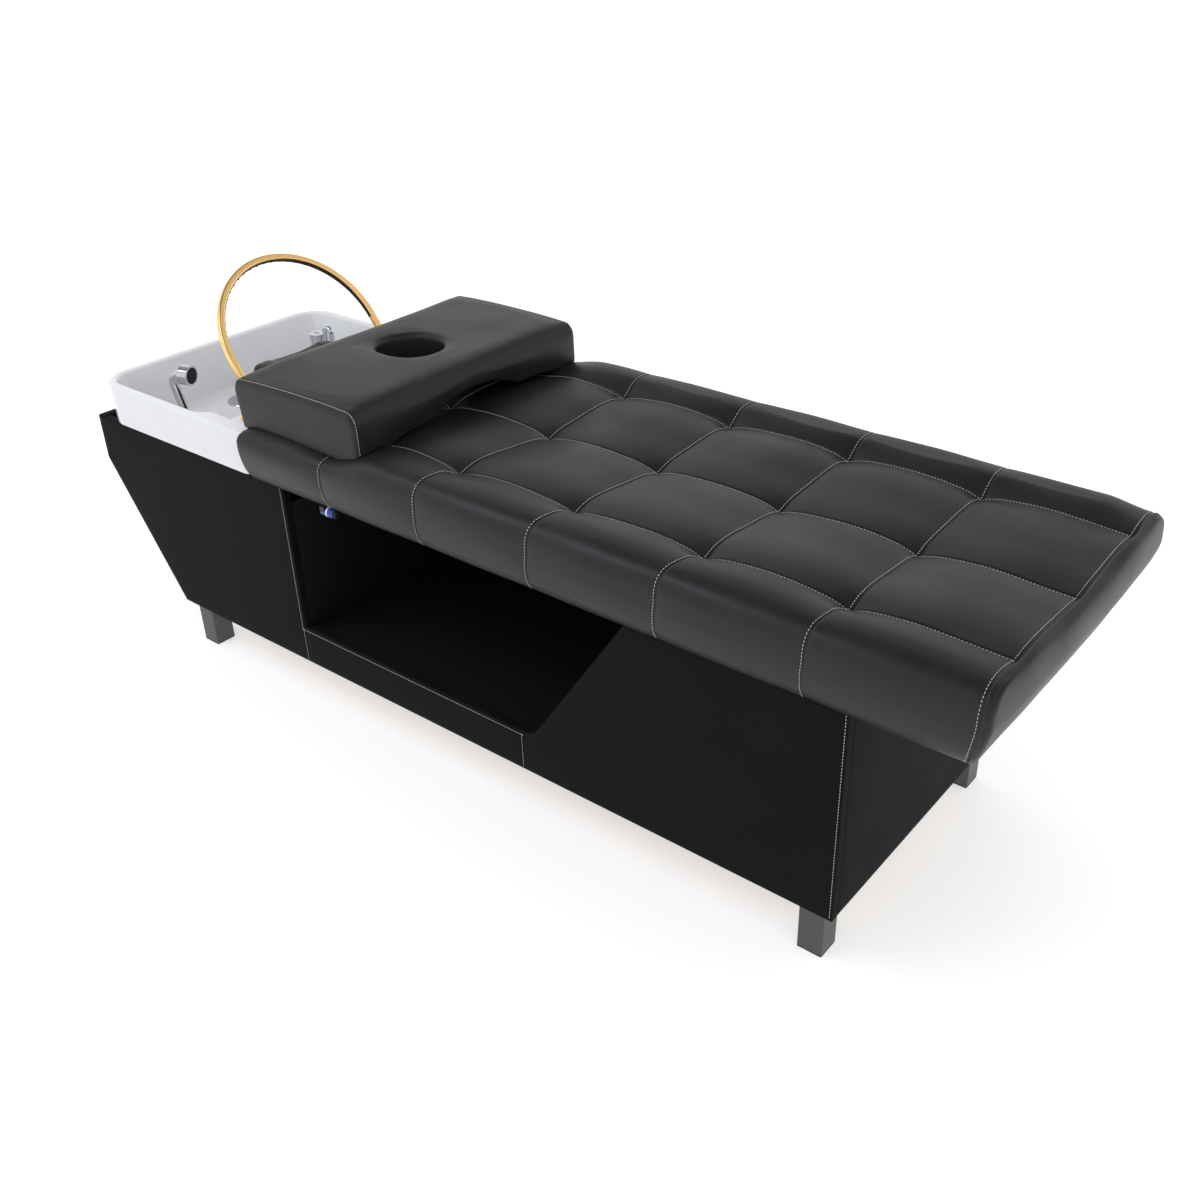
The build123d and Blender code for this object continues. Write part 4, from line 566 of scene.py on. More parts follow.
def top_height(x, y):
    """Height of the tufted top before the filling swells it."""
    pads = bpy.context.scene.bed_pads
    along, across = lift_lengthwise(x), lift_across(y)
    across = across + (1 - across) * ease((x - TUFT_COLUMNS[-1]) / 0.012)
    outer = SIDE_RUN_OUT * ease((np.abs(y) - TUFT_ROWS[-1]) / 0.05)
    along = along + (1 - along) * outer
    rest = pads.tuft_depth - pads.row_rise - pads.cross_rise
    height = CELL_TOP_Z - pads.tuft_depth
    height = height + pads.row_rise * along + pads.cross_rise * across + rest * along * across
    to_tuft = nearest(x, TUFT_COLUMNS[:-1]) ** 2 + nearest(y, TUFT_ROWS) ** 2
    height = height - 0.004 * np.exp(-to_tuft / 0.022 ** 2) - 0.002 * (y / SHOULDER_Y) ** 2
    outward = ease((np.abs(y) - 0.08) / 0.13) * (1 - ease((-0.12 - x) / 0.13))
    height = height + outward * (PROUD + 0.003 * np.exp(-((x - 0.55) / 0.45) ** 2))
    far = ease((y - 0.22) / 0.07) * ease((x + 0.32) / 0.3) * (1 - ease((x - 1.0) / 0.08))
    return height + FAR_RISE * far - 0.004 * ease((x - 1.088) / 0.012) - settled(x, y)


# Play of the mattress's hollow round its board
BOARD_PLAY = 0.0004


def side_levels():
    """Rings of the sides, top down, each with the values that ring_points reads."""
    levels = []
    for k in range(1, UPPER_RINGS + 1):
        turn = math.pi / 2 * k / UPPER_RINGS
        shoulder = 1 - math.sin(turn) ** 0.72
        above = max(0.0, math.cos(turn)) ** 0.72 if k < UPPER_RINGS else 0.0
        levels.append((shoulder, above, BELLY_Z, 0.0, 0.0, 1.0, CORNER_ZONE, math.sin(turn),
                       1 + 0.3 * (1 - shoulder)))
    for z, side, head, full, dent in LOWER_RINGS:
        levels.append((0.0, 0.0, z, side, head, full, 0.006 + 0.008 * full, dent,
                       1.3 + 0.4 * (BELLY_Z - z) / (BELLY_Z - 0.53)))
    pocket_y = MATTRESS_HIGH.y + PROUD - BOARD_HIGH.y - BOARD_PLAY
    pocket_x = BOARD_LOW.x - BOARD_PLAY - MATTRESS_LOW.x
    for z in (0.5303, MATTRESS_LOW.z):
        levels.append((0.0, 0.0, z, pocket_y, pocket_x, None, 0.0006, 0.0, 0.0))
    return levels


def foot_edge(y, half, shoulder, full):
    """Where the foot end of a ring lies at a width."""
    if full is None:
        return np.full_like(y, BOARD_HIGH.x + BOARD_PLAY)
    belly = CAP_CORNER_X + (CAP_MIDDLE_X - CAP_CORNER_X) * (1 - np.clip(y / half, -1, 1) ** 2)
    return CAP_TUCK_X + (belly - shoulder * (belly - SHOULDER_FOOT_X) - CAP_TUCK_X) * full


def ring_points(xs, ys, loop, level):
    """One ring of the mattress's sides at a level."""
    shoulder, above, level_z, draw_side, draw_head, full, radius, dent_share, reach = level
    widest = MATTRESS_HIGH.y + PROUD
    out_y = widest - shoulder * (widest - SHOULDER_Y) - draw_side
    out_head = MATTRESS_LOW.x + shoulder * (SHOULDER_HEAD_X - MATTRESS_LOW.x) + draw_head
    lx, ly = xs[loop[:, 0]], ys[loop[:, 1]]
    to_foot, to_far = np.where(lx > 0, 1.0, -1.0), np.where(ly > 0, 1.0, -1.0)
    # The lattice without its corner zones is fitted to the ring without its corner arcs
    zone_head, zone_foot, zone_y = xs[0] + CORNER_ZONE, xs[-1] - CORNER_ZONE, ys[-1] - CORNER_ZONE
    core_y = out_y - radius
    core_head, core_foot = out_head + radius, foot_edge(core_y, out_y, shoulder, full) - radius
    foot_pull = ease((lx - (zone_foot - 0.05)) / 0.05) * (core_foot - zone_foot)
    head_pull = ease(((zone_head + 0.05) - lx) / 0.05) * (core_head - zone_head)
    px, py = lx + foot_pull + head_pull, ly * core_y / zone_y
    centre_x = np.where(lx > 0, core_foot, core_head)
    over_x = np.where(lx > 0, lx - zone_foot, zone_head - lx) / CORNER_ZONE
    over_y = (np.abs(ly) - zone_y) / CORNER_ZONE
    turn_x, turn_y = (np.clip(over, 0, 1) * math.pi / 4 for over in (over_x, over_y))
    dent = bpy.context.scene.bed_pads.side_dent * (1 - lift_lengthwise(lx)) * dent_share
    dent = dent * ease((xs[-1] - lx) / CORNER_ZONE)
    long_x = np.where(over_x > 0, centre_x + to_foot * radius * np.sin(turn_x), px)
    long_y = to_far * (np.where(over_x > 0, core_y + radius * np.cos(turn_x), out_y) - dent)
    plain_x = np.where(lx > 0, foot_edge(py, out_y, shoulder, full), out_head)
    end_x = np.where(over_y > 0, centre_x + to_foot * radius * np.cos(turn_y), plain_x)
    end_y = np.where(over_y > 0, to_far * (core_y + radius * np.sin(turn_y)), py)
    on_long = (loop[:, 1] == 0) | (loop[:, 1] == len(ys) - 1)
    x, y = np.where(on_long, long_x, end_x), np.where(on_long, long_y, end_y)
    z = level_z + above * (top_height(lx, ly) - BELLY_Z - (settled(x, y) - settled(lx, ly)))
    return np.stack([x + drift(lx, ly / ys[-1] * reach), y, z], axis=1)


def border_loop(nx, ny):
    """Indices of the lattice's border, once round."""
    return np.array([(i, 0) for i in range(nx)] + [(nx - 1, j) for j in range(1, ny)]
                    + [(i, ny - 1) for i in range(nx - 2, -1, -1)]
                    + [(0, j) for j in range(ny - 2, 0, -1)])


def grid_faces(numbers, flipped=False):
    """Faces between the neighbours in a grid of point numbers."""
    corners = [numbers[:-1, :-1], numbers[1:, :-1], numbers[1:, 1:], numbers[:-1, 1:]]
    if flipped:
        corners[1], corners[3] = corners[3], corners[1]
    return np.stack(corners, axis=2).reshape(-1, 4).tolist()


OFF_PLAN = 9.0


def mattress_shell(name, fine, coarse):
    """The mattress as a closed lattice: tufted top, rolled sides, skirt and hollow underside."""
    xs = lattice_lines(SHOULDER_HEAD_X, SHOULDER_FOOT_X, TUFT_COLUMNS, fine, coarse)
    ys = lattice_lines(-SHOULDER_Y, SHOULDER_Y, TUFT_ROWS, fine, coarse)
    nx, ny = len(xs), len(ys)
    loop = border_loop(nx, ny)
    border = (loop[:, 0], loop[:, 1])
    grid_x, grid_y = np.meshgrid(xs, ys, indexing="ij")
    drifted_x = grid_x + drift(grid_x, grid_y / ys[-1])
    top = np.stack([drifted_x, grid_y, top_height(grid_x, grid_y)], axis=2).reshape(-1, 3)
    rings = [ring_points(xs, ys, loop, level) for level in side_levels()]
    low, high = rings[-1].min(axis=0), rings[-1].max(axis=0)
    under_x = low[0] + (grid_x - xs[0]) / (xs[-1] - xs[0]) * (high[0] - low[0])
    under_y, under_z = grid_y / ys[-1] * high[1], np.full_like(grid_x, MATTRESS_LOW.z)
    under = np.stack([under_x, under_y, under_z], axis=2)[1:-1, 1:-1].reshape(-1, 3)
    points = np.concatenate([top, *rings, under])
    # Where each point lies on the tufting plan; the underside lies far off it
    plan = np.stack([grid_x, grid_y], axis=2)
    plan = np.concatenate([plan.reshape(-1, 2), *[plan[border]] * len(rings),
                           np.full((len(under), 2), OFF_PLAN)])
    numbers = np.arange(len(points))
    top_at, rings_at, under_at = np.split(numbers, [len(top), len(points) - len(under)])
    upper, rings_at = top_at.reshape(nx, ny), rings_at.reshape(len(rings), -1)
    lower = np.zeros_like(upper)
    lower[border] = rings_at[-1]
    lower[1:-1, 1:-1] = under_at.reshape(nx - 2, ny - 2)
    sides = np.concatenate([upper[border][None], rings_at])
    sides = np.concatenate([sides, sides[:, :1]], axis=1)
    faces = grid_faces(upper) + grid_faces(sides) + grid_faces(lower, flipped=True)
    return new_piece(name, points, faces), plan, (xs, ys, loop, len(rings))


def perimeter(xs, ys, loop):
    """Distance of each border point along the lattice's edge."""
    corners = np.stack([xs[loop[:, 0]], ys[loop[:, 1]]], axis=1)
    steps = np.linalg.norm(np.diff(corners, axis=0), axis=1)
    return np.concatenate([[0.0], np.cumsum(steps)])


def resampled(values, wanted, at, axis, period=None):
    """Values along one axis of an array, read at other places."""
    return np.apply_along_axis(lambda line: np.interp(wanted, at, line, period=period), axis, values)


def carry_swell(coarse, fine):
    """Carry the swell of the coarse mattress over to the fine one by their lattices."""
    travel, (cx, cy, cloop, rings) = coarse
    fx, fy, floop, _ = fine
    top, sides = travel[:len(cx) * len(cy)], travel[len(cx) * len(cy):][:rings * len(cloop)]
    top = resampled(resampled(top.reshape(len(cx), len(cy), 3), fx, cx, 0), fy, cy, 1)
    whole = 2 * (cx[-1] - cx[0] + cy[-1] - cy[0])
    sides = resampled(sides.reshape(rings, -1, 3), perimeter(fx, fy, floop), perimeter(cx, cy, cloop),
                      1, whole)
    return np.concatenate([top.reshape(-1, 3), sides.reshape(-1, 3)])


def seam_distance(plan):
    """Distance of each point of the mattress to its nearest seam, on the lattice."""
    x, y = plan.T
    to_row = np.where(x < TUFT_COLUMNS[-1], nearest(y, TUFT_ROWS), 1.0)
    return np.minimum(nearest(x, TUFT_COLUMNS), to_row)


def build_mattress():
    """Tufted mattress: swollen cells between sewn seams, with a valley along each seam."""
    pads = bpy.context.scene.bed_pads
    fine, plan, layout = mattress_shell("mattress_cover", 0.0016, 0.010)
    coarse, coarse_plan, coarse_layout = mattress_shell("mattress_trial", 0.010, 0.012)
    start = points_of(coarse)
    held = (seam_distance(coarse_plan) < 0.004) | (start[:, 2] < BELLY_Z - 0.03)
    swell_with_filling(coarse, held, 4.0, pads.swell, 2)
    travel = points_of(coarse) - start
    travel *= (1 - 0.7 * ease((coarse_plan[:, 0] - 1.05) / 0.04))[:, None]
    moved = points_of(fine)
    carried = carry_swell((travel, coarse_layout), layout)
    moved[:len(carried)] += carried
    move_points(fine, moved)
    bpy.data.objects.remove(coarse)
    points, normals = points_of(fine), points_of(fine, "normal")
    above = ease((points[:, 2] - 0.533) / 0.02) * (plan[:, 0] < OFF_PLAN)
    valley = (1 - ease(seam_distance(plan) / 0.0042)) * above
    crease = np.array([noise.noise(Vector(p) * 9) for p in points]) * 0.0012
    points += normals * (crease * above - pads.groove * valley)[:, None]
    highest = MATTRESS_HIGH.z + 1.5 * PROUD * ease((points[:, 0] + 0.3) / 0.16)
    points[:, 2] = np.minimum(points[:, 2], highest)
    move_points(fine, points)
    finish_piece(fine, "bed", "pad_leather", ("mattress",), angle=80)
    sew("mattress_stitches", mattress_runs(fine, layout), "bed")


# Stitches

def skin_of(piece):
    """A search tree over the piece's surface."""
    return BVHTree.FromObject(piece, bpy.context.evaluated_depsgraph_get())


def run_over(skin, origins, direction):
    """Where parallel rays meet the surface, with the surface's normal, in order."""
    hits = [skin.ray_cast(Vector(origin), direction)[:2] for origin in origins]
    return [(place, normal if normal.dot(direction) < 0 else -normal)
            for place, normal in hits if place is not None]


def spaced(run, pitch):
    """Points at an even pitch along a run of points and normals, with their direction."""
    stitches, carried = [], 0.0
    for (start, start_n), (end, end_n) in zip(run, run[1:]):
        gap = (end - start).length
        if gap < 1e-7 or gap > 0.05:
            continue
        along = (end - start) / gap
        while carried <= gap:
            share = carried / gap
            stitches.append((start.lerp(end, share), start_n.lerp(end_n, share).normalized(), along))
            carried += pitch
        carried -= gap
    return stitches


def one_stitch():
    """Points and faces of one stitch: a rounded bit of thread, 1 long along Z and 1 thick."""
    bpy.ops.object.select_all(action="DESELECT")
    bpy.ops.mesh.primitive_uv_sphere_add(segments=6, ring_count=4, radius=0.5)
    ball = bpy.context.active_object
    points = points_of(ball)
    faces = [tuple(face.vertices) for face in ball.data.polygons]
    bpy.data.objects.remove(ball)
    return points, faces


def sew(name, runs, body):
    """All stitches along the given runs as one piece, each a copy of the same stitch."""
    sewing = bpy.context.scene.bed_sewing
    shape, shape_faces = one_stitch()
    points, faces = [], []
    for run in runs:
        for place, normal, along in spaced(run, sewing.pitch):
            across = normal.cross(along).normalized()
            up = along.cross(across).normalized()
            turn = np.array([across * sewing.thread, up * sewing.thread * 0.8, along * sewing.length])
            base = len(points) * len(shape)
            points.append(shape @ turn + np.array(place + up * sewing.thread * 0.22))
            faces += [tuple(base + i for i in face) for face in shape_faces]
    piece = new_piece(name, np.concatenate(points), faces)
    return finish_piece(piece, body, None, finish="thread", angle=180)


def mattress_runs(cover, layout):
    """Topstitch runs of the mattress beside its rows and cross seams, down to the skirt."""
    beside = bpy.context.scene.bed_sewing.beside
    xs, ys, loop, rings = layout
    top = np.arange(len(xs) * len(ys)).reshape(len(xs), len(ys))
    sides = (np.arange(rings * len(loop)) + top.size).reshape(rings, len(loop))[:rings - 4]
    foot = np.argmin(np.abs(xs - (TUFT_COLUMNS[-1] - beside)))
    runs = [top[:foot + 1, np.argmin(np.abs(ys - (row - beside)))] for row in TUFT_ROWS]
    for column in TUFT_COLUMNS:
        i = np.argmin(np.abs(xs - (column - beside)))
        # The border starts along the near side and comes back along the far one
        near, far = i, 2 * len(xs) + len(ys) - 3 - i
        runs.append(np.concatenate([sides[::-1, near], top[i], sides[:, far]]))
    points, normals = points_of(cover), points_of(cover, "normal")
    return [[(Vector(points[n]), Vector(normals[n])) for n in run] for run in runs]


# Face pillow

def build_pillow():
    """Loose pillow with a face hole: swollen sides, drooping ends and sewn end caps."""
    pillow = soft_copy_of("face_pillow", "pillow_cover", 0.0042)
    low, high = np.array(PILLOW_LOW), np.array(PILLOW_HIGH)
    above, below = points_of(pillow) - low, high - points_of(pillow)
    rim = (np.minimum(above, below)[:, 1] < 0.006) & (
        (below[:, 2] < 0.014) | (above[:, 2] < 0.008) | (below[:, 0] < 0.012) | (above[:, 0] < 0.014))
    swell_with_filling(pillow, rim | (above[:, 2] < 0.004), 3.0, 0.004, 25)
    points = points_of(pillow)
    toward_foot, _, height = ((points - low) / (high - low)).T
    droop = ease((np.abs(points[:, 1]) - 0.17) / 0.16)
    near = points[:, 1] < 0
    top_drop = np.where(near, 0.009 - 0.008 * toward_foot, 0.0)
    low_drop = np.where(near, 0.035 + 0.001 * toward_foot, 0.030 - 0.012 * toward_foot)
    points[:, 2] = np.minimum(points[:, 2], high[2] + 0.002)
    points[:, 2] -= droop * (low_drop + (top_drop - low_drop) * np.clip(height, 0, 1))
    points[:, 0] += (0.5 - height) * 0.008 - 0.006 * droop * (1 - toward_foot)
    points[:, 1] *= 1 + 0.011 * droop
    under = bpy.data.objects.get("mattress_cover")
    if under:
        skin = skin_of(under)
        for n in np.nonzero(points[:, 2] < PILLOW_LOW.z + 0.004)[0]:
            below = skin.ray_cast(Vector((points[n, 0], points[n, 1], 0.8)), Vector((0, 0, -1)))[0]
            if below is not None:
                points[n, 2] = max(points[n, 2], below.z + 0.0012)
    move_points(pillow, points)
    finish_piece(pillow, "pillow", "pad_leather", ("face_pillow",), angle=60)
    sew("pillow_stitches", pillow_runs(skin_of(pillow)), "pillow")


def pillow_runs(skin):
    """Topstitches beside both end caps: up the head side, over the top and down the foot side."""
    (low_x, _, low_z), (high_x, high_y, high_z) = PILLOW_LOW, PILLOW_HIGH
    rises = np.arange(low_z - 0.022, high_z - 0.020, 0.004)
    across = np.arange(low_x + 0.006, high_x - 0.004, 0.004)
    falls = np.arange(high_z - 0.012, low_z - 0.014, -0.004)
    return [run_over(skin, [(low_x - 0.3, y, z) for z in rises], Vector((1, 0, 0)))
            + run_over(skin, [(x, y, 1.0) for x in across], Vector((0, 0, -1)))
            + run_over(skin, [(high_x + 0.3, y, z) for z in falls], Vector((-1, 0, 0)))
            for y in (0.0030 - high_y, high_y - 0.0030)]


# Neck rest

def build_neck_rest():
    """Loose-covered neck rest with a shallow saddle."""
    pad = soft_copy_of("neck_rest", "neck_rest_cover", 0.003)
    held = points_of(pad)[:, 2] < NECK_LOW.z + 0.006
    swell_with_filling(pad, held, 2.5, 0.0025, 8)
    points = points_of(pad)
    low, high = np.array(NECK_LOW), np.array(NECK_HIGH)
    puckers = np.array([noise.noise(Vector((x * 22, y * 30, z * 40))) for x, y, z in points])
    puckers *= 0.0018 * ease((points[:, 2] - low[2]) / 0.02)
    points += points_of(pad, "normal") * puckers[:, None]
    points = np.clip(points, low, high + np.array([0, 0, 0.002]))
    points[:, 2] += 0.007 * (points[:, 2] - low[2]) / (high[2] - low[2])
    move_points(pad, points)
    finish_piece(pad, "bed", "pad_leather", ("neck_rest",))


# Leather covers of the base

def distance_to(points, segments):
    """Distance of each 2-D point to the nearest of some segments."""
    nearest = np.full(len(points), 1e9)
    for a, b in segments:
        span = b - a
        share = np.clip(((points - a) @ span) / max(span @ span, 1e-12), 0, 1)
        nearest = np.minimum(nearest, np.linalg.norm(points - a - share[:, None] * span, axis=1))
    return nearest


def padded_cover(node, name, outward, padding, lines=()):
    """A cover over a board: soft rounded edges, a slight crown and pressed-in seam lines."""
    cover, outward = copy_of(node, name), Vector(outward)
    shape = bmesh.new()
    shape.from_mesh(cover.data)
    bmesh.ops.dissolve_limit(shape, angle_limit=math.radians(1), verts=shape.verts, edges=shape.edges)
    faces = [f for f in shape.faces if f.normal.dot(outward) > 0.999]
    level = max(f.calc_center_median().dot(outward) for f in faces)
    face = [f for f in faces if abs(f.calc_center_median().dot(outward) - level) < 1e-5]
    rims = [e for e in {e for f in face for e in f.edges} if sum(f in face for f in e.link_faces) == 1]
    axes = [a for a in range(3) if abs(outward[a]) < 0.5]
    segments = [tuple(np.array([v.co[a] for a in axes]) for v in e.verts) for e in rims]
    bmesh.ops.bevel(shape, geom=rims, offset=0.0017, offset_type="OFFSET", segments=3, profile=0.5,
                    affect="EDGES")
    corners = np.array([v.co for v in shape.verts], dtype=float)
    for a in axes:
        cuts = list(np.arange(corners[:, a].min() + 0.012, corners[:, a].max() - 0.006, 0.024))
        cuts += [at + beside for axis, at, _, _ in lines if axis == a
                 for beside in (-0.005, -0.002, 0, 0.002, 0.005)]
        normal = Vector([float(axis == a) for axis in range(3)])
        for cut in sorted(cuts):
            bmesh.ops.bisect_plane(shape, geom=shape.verts[:] + shape.edges[:] + shape.faces[:],
                                   plane_co=normal * cut, plane_no=normal, dist=1e-6)
    bmesh.ops.recalc_face_normals(shape, faces=shape.faces[:])
    shape.to_mesh(cover.data)
    shape.free()
    points = points_of(cover)
    depth = level - points @ np.array(outward)
    plan = points[:, axes]
    inward = distance_to(plan, segments)
    waves = np.array([noise.noise(Vector((*p, 0.3)) * 4.2) for p in plan])
    crown = padding * (1 - np.exp(-inward / 0.03) + 0.35 * waves * ease(inward / 0.05))
    for axis, at, start, end in lines:
        other = axes[1] if axes[0] == axis else axes[0]
        inside = (points[:, other] > start) & (points[:, other] < end)
        crown -= 0.0012 * (1 - ease(np.abs(points[:, axis] - at) / 0.004)) * inside
    shift = np.where(depth < 0.0004, crown, 0)
    move_points(cover, points + shift[:, None] * np.array(outward))
    finish_piece(cover, "bed", "base_leather", (node,), angle=50)


PANEL_SEAMS = ((0, -0.465, 0.1, OPENING_SILL_Z), (0, 0.179, 0.1, OPENING_SILL_Z + 0.05))


def build_head_rim():
    """Leather turned over the top edge of the head end board."""
    bpy.ops.object.select_all(action="DESELECT")
    middle = (HEAD_COVER_LOW.x + 0.0115, 0, BASE_HIGH.z + 0.00075)
    bpy.ops.mesh.primitive_cube_add(size=1, location=(0, 0, 0))
    rim = bpy.context.active_object
    rim.name = "head_end_rim_leather"
    bpy.ops.object.mode_set(mode="EDIT")
    bpy.ops.mesh.select_all(action="SELECT")
    bpy.ops.transform.resize(value=(0.023, 2 * BASE_HALF_WIDTH - 0.004, 0.0015),
                             center_override=(0, 0, 0))
    bpy.ops.transform.translate(value=middle)
    bpy.ops.mesh.bevel(offset=0.0006, segments=2, affect="EDGES")
    bpy.ops.object.mode_set(mode="OBJECT")
    finish_piece(rim, "bed", "base_leather", angle=40)


def build_covers():
    """Leather covers over the base's boards on all four sides."""
    padded_cover("near_side_cover", "near_side_leather", (0, -1, 0), 0.0016, PANEL_SEAMS)
    padded_cover("far_side_cover", "far_side_leather", (0, 1, 0), 0.0016)
    padded_cover("foot_end_cover", "foot_end_leather", (1, 0, 0), 0.0014)
    padded_cover("head_end_cover", "head_end_leather", (-1, 0, 0), 0.0014)
    build_head_rim()
    sew("base_stitches", base_runs(), "bed")


def straight_run(start, end, normal):
    """A straight run of points with one normal."""
    start, end, normal = Vector(start), Vector(end), Vector(normal)
    steps = max(2, int((end - start).length / 0.02))
    return [(start.lerp(end, k / steps), normal) for k in range(steps + 1)]


def base_runs():
    """Topstitches of the base: round the storage opening, below it and down the foot corner."""
    face_y, inset = BASE_LOW.y - 0.0014, 0.007
    left_x, sill_z = OPENING_HEAD_X - inset, OPENING_SILL_Z - inset
    top_z, low_z = BASE_HIGH.z - 0.004, BASE_LOW.z + 0.004
    corner_x, corner_y = BASE_HIGH.x - 0.0045, BASE_LOW.y - 0.0004
    lines = [((left_x, face_y, top_z), (left_x, face_y, sill_z)),
             ((left_x, face_y, sill_z), (OPENING_CORNER_X - 0.02, face_y, sill_z)),
             ((corner_x, corner_y, top_z), (corner_x, corner_y, low_z))]
    for _, x, _, high in PANEL_SEAMS:
        x -= bpy.context.scene.bed_sewing.beside
        lines.append(((x, face_y, min(high, sill_z)), (x, face_y, low_z)))
    return [straight_run(start, end, (0, -1, 0)) for start, end in lines]


# Carried-over CAD parts

DARK_STAINED = ("mattress_board", "deck_battens", "basin_bulkhead", "neck_rest_board",
                "near_side_board", "head_end_board")


def dress_nodes():
    """Give every shown CAD node the finish of its slot; boards seen from outside are stained."""
    slots = {row["node"]: row["material_slot"] for row in frame["record"]["subparts"]}
    for node, slot in slots.items():
        carried = frame["nodes"][node]
        carried.data.materials.clear()
        carried.data.materials.append(material_of("stained_wood" if node in DARK_STAINED else slot))


# Studio

CAMERA_PLACE = (1.60416, -1.77059, 1.6889)
CAMERA_AZIMUTH = 38.0
CAMERA_ELEVATION = 30.53
CAMERA_ROLL = -0.8
CAMERA_SHIFT = (-0.0333, -0.0048)


def build_camera():
    """Camera at the photograph's viewing angle."""
    turn, tip, roll = (math.radians(a) for a in (CAMERA_AZIMUTH, CAMERA_ELEVATION, CAMERA_ROLL))
    back = Vector((math.sin(turn) * math.cos(tip), -math.cos(turn) * math.cos(tip), math.sin(tip)))
    right = (-back).cross(Vector((0, 0, 1))).normalized()
    up = right.cross(-back)
    right, up = (right * math.cos(roll) + up * math.sin(roll),
                 up * math.cos(roll) - right * math.sin(roll))
    lens = bpy.data.cameras.new("Photograph camera")
    lens.lens, lens.sensor_width = bpy.context.scene.bed_studio.focal, 36
    lens.shift_x, lens.shift_y = CAMERA_SHIFT
    lens.clip_end = 100
    camera = placed("Photograph camera", lens)
    camera.matrix_world = Matrix([*zip(right, up, back, CAMERA_PLACE), (0, 0, 0, 1)])
    bpy.context.scene.camera = camera


def build_lamp():
    """A cool soft window beyond the near side's head end."""
    light = bpy.data.lights.new("Cool window", "AREA")
    light.shape = "RECTANGLE"
    light.size, light.size_y = 1.7, 0.8
    light.energy, light.color = bpy.context.scene.bed_studio.window, linear("#e6efff")[:3]
    lamp = placed("Cool window", light)
    lamp.location, aim = Vector((-1.3, -1.8, 2.6)), Vector((0.0, -0.25, 0.6))
    lamp.rotation_euler = (aim - lamp.location).to_track_quat("-Z", "Y").to_euler()


def ray_is(tree, *kinds):
    """1 for rays of any of these kinds and 0 for others."""
    path = add_node(tree, "LightPath").outputs
    found = path[kinds[0]]
    for kind in kinds[1:]:
        found = add_node(tree, "Math", {0: found, 1: path[kind]}, operation="MAXIMUM")
    return found


# Colour of the white walls by the upward share of a direction: as light, and as gloss sees them
# with a darker ceiling
WALLS = [(0.0, (0.96, 0.96, 0.97, 1)), (0.5, (0.86, 0.86, 0.86, 1)), (1.0, (0.60, 0.60, 0.60, 1))]
WALLS_IN_GLOSS = [(0.0, (0.97, 0.97, 1, 1)), (0.35, (0.97, 0.97, 0.98, 1)),
                  (0.54, (1.0, 0.98, 0.97, 1)), (0.72, (0.50, 0.49, 0.49, 1)),
                  (0.9, (0.2, 0.2, 0.21, 1))]
# Light that the floor adds where the camera or gloss sees it, so that it reads white
FLOOR_GLOW = 0.5


def build_world():
    """White studio walls, plain white to the camera."""
    world = bpy.data.worlds.new("White studio")
    bpy.context.scene.world = world
    tree = empty_tree(world)
    direction = add_node(tree, "TexCoord").outputs["Generated"]
    upward = add_node(tree, "SeparateXYZ", {"Vector": direction}).outputs["Z"]
    lights = [(shades(tree, upward, WALLS), bpy.context.scene.bed_studio.wall),
              (shades(tree, upward, WALLS_IN_GLOSS), 1.0), ((1, 1, 1, 1), 1.0)]
    lit, shown, plain = [add_node(tree, "Background", {"Color": colour, "Strength": strength})
                         for colour, strength in lights]
    glossy = ray_is(tree, "Is Glossy Ray", "Is Transmission Ray")
    reflected = add_node(tree, "MixShader", {0: glossy, 1: lit, 2: shown})
    seen = add_node(tree, "MixShader", {0: ray_is(tree, "Is Camera Ray"), 1: reflected, 2: plain})
    add_node(tree, "OutputWorld", {"Surface": seen})


def build_floor():
    """Plain pale floor that reads white and keeps the bed's shadow."""
    bpy.ops.object.select_all(action="DESELECT")
    bpy.ops.mesh.primitive_plane_add(size=80, location=(0, 0, 0))
    floor = bpy.context.active_object
    floor.name = "studio_floor"
    material = bpy.data.materials.new("Pale studio floor")
    tree = empty_tree(material)
    seen = ray_is(tree, "Is Camera Ray", "Is Glossy Ray", "Is Transmission Ray")
    strength = add_node(tree, "Math", {0: seen, 1: FLOOR_GLOW}, operation="MULTIPLY")
    glow = add_node(tree, "Emission", {"Color": (1, 1, 1, 1), "Strength": strength})
    paint = add_node(tree, "BsdfDiffuse", {"Color": linear("#e8e8e8")})
    add_node(tree, "OutputMaterial", {"Surface": add_node(tree, "AddShader", {0: glow, 1: paint})})
    floor.data.materials.append(material)


def build_studio():
    """Floor, walls, lamp and camera."""
    bpy.context.scene.view_settings.view_transform = "Standard"
    build_world()
    build_floor()
    build_lamp()
    build_camera()


# Operators

class BuildStep:
    """What the bed's operators share: each runs one build step."""

    def execute(self, context):
        self.build()
        return {"FINISHED"}


class BED_OT_carried_parts(BuildStep, bpy.types.Operator):
    """Give the boards, legs, basin, fittings and arc their finishes"""
    bl_idname = "washing_bed.carried_parts"
    bl_label = "Carried parts"
    build = staticmethod(dress_nodes)


class BED_OT_mattress(BuildStep, bpy.types.Operator):
    """Build the tufted mattress with its stitches"""
    bl_idname = "washing_bed.mattress"
    bl_label = "Mattress"
    build = staticmethod(build_mattress)


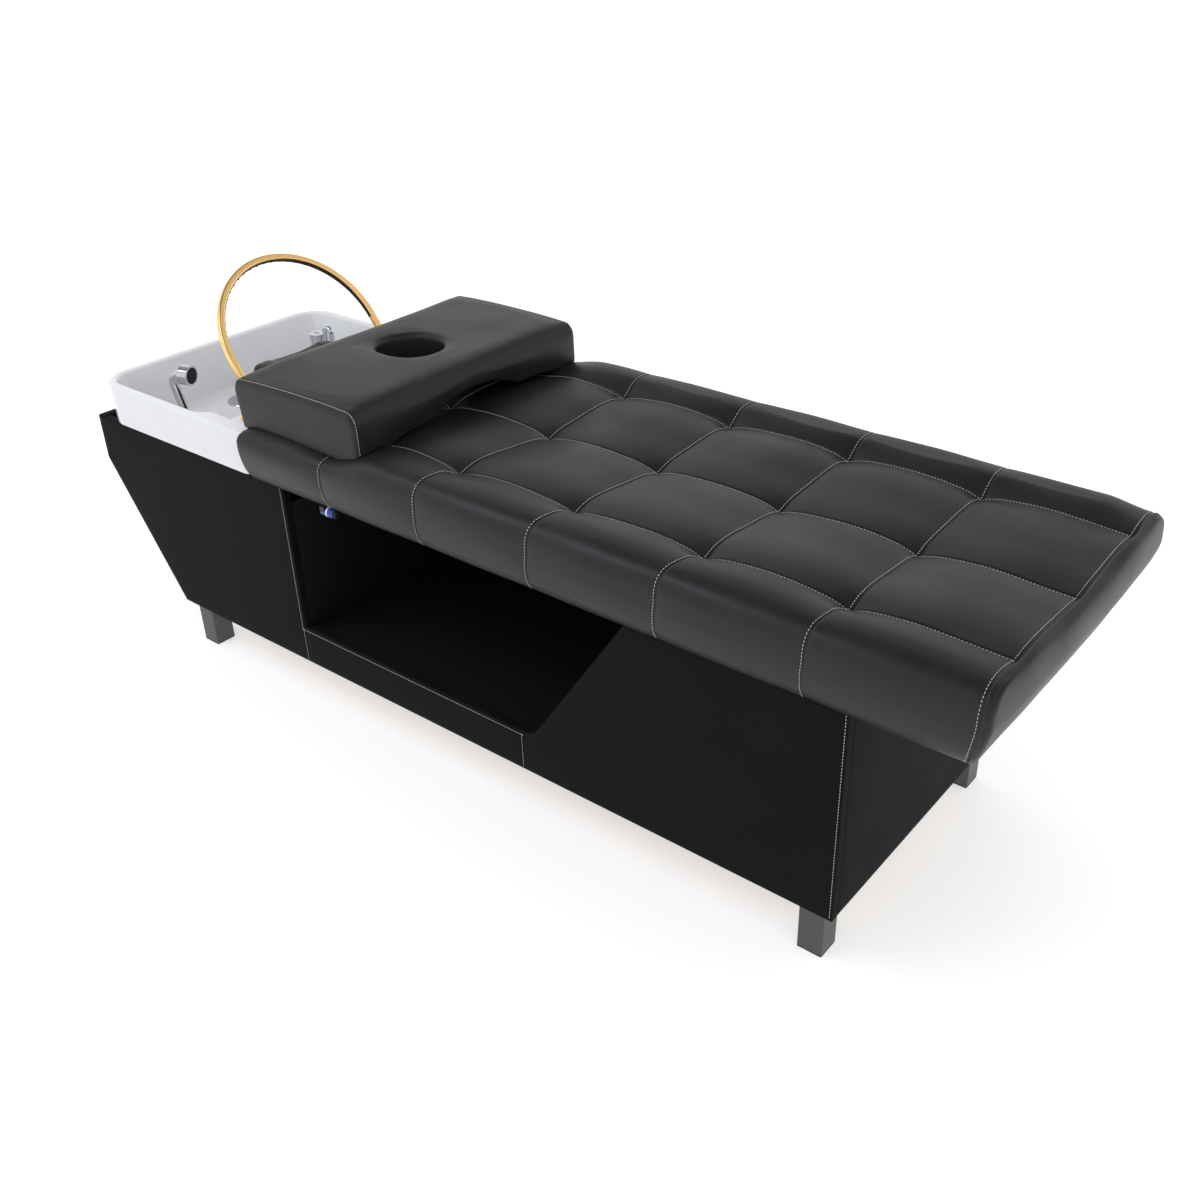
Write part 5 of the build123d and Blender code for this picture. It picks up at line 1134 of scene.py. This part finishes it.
class BED_OT_face_pillow(BuildStep, bpy.types.Operator):
    """Build the loose face pillow with its stitches"""
    bl_idname = "washing_bed.face_pillow"
    bl_label = "Face pillow"
    build = staticmethod(build_pillow)


class BED_OT_neck_rest(BuildStep, bpy.types.Operator):
    """Build the neck rest at the basin"""
    bl_idname = "washing_bed.neck_rest"
    bl_label = "Neck rest"
    build = staticmethod(build_neck_rest)


class BED_OT_base_covers(BuildStep, bpy.types.Operator):
    """Build the leather covers of the base with their stitches"""
    bl_idname = "washing_bed.base_covers"
    bl_label = "Base covers"
    build = staticmethod(build_covers)


class BED_OT_studio(BuildStep, bpy.types.Operator):
    """Build the floor, walls, lamp and camera"""
    bl_idname = "washing_bed.studio"
    bl_label = "Studio"
    build = staticmethod(build_studio)


OPERATORS = (BED_OT_carried_parts, BED_OT_mattress, BED_OT_face_pillow, BED_OT_neck_rest,
             BED_OT_base_covers, BED_OT_studio)


class BED_PT_panel(bpy.types.Panel):
    """Lists the settings and the steps that build the bed"""
    bl_idname = "BED_PT_panel"
    bl_label = "Washing bed"
    bl_space_type = "VIEW_3D"
    bl_region_type = "UI"
    bl_category = "Washing bed"

    def draw(self, context):
        for name, group in GROUPS.items():
            box = self.layout.box()
            for prop in group.__annotations__:
                box.prop(getattr(context.scene, name), prop)
        for operator in OPERATORS:
            self.layout.operator(operator.bl_idname)


def register():
    for name, group in GROUPS.items():
        bpy.utils.register_class(group)
        setattr(bpy.types.Scene, name, bpy.props.PointerProperty(type=group))
    for made in (*OPERATORS, BED_PT_panel):
        bpy.utils.register_class(made)


def unregister():
    for made in reversed((*OPERATORS, BED_PT_panel)):
        bpy.utils.unregister_class(made)
    for name, group in reversed(list(GROUPS.items())):
        delattr(bpy.types.Scene, name)
        bpy.utils.unregister_class(group)


def main():
    register()
    bpy.ops.washing_bed.carried_parts()
    bpy.ops.washing_bed.mattress()
    bpy.ops.washing_bed.face_pillow()
    bpy.ops.washing_bed.neck_rest()
    bpy.ops.washing_bed.base_covers()
    bpy.ops.washing_bed.studio()


if __name__ == "__main__":
    main()
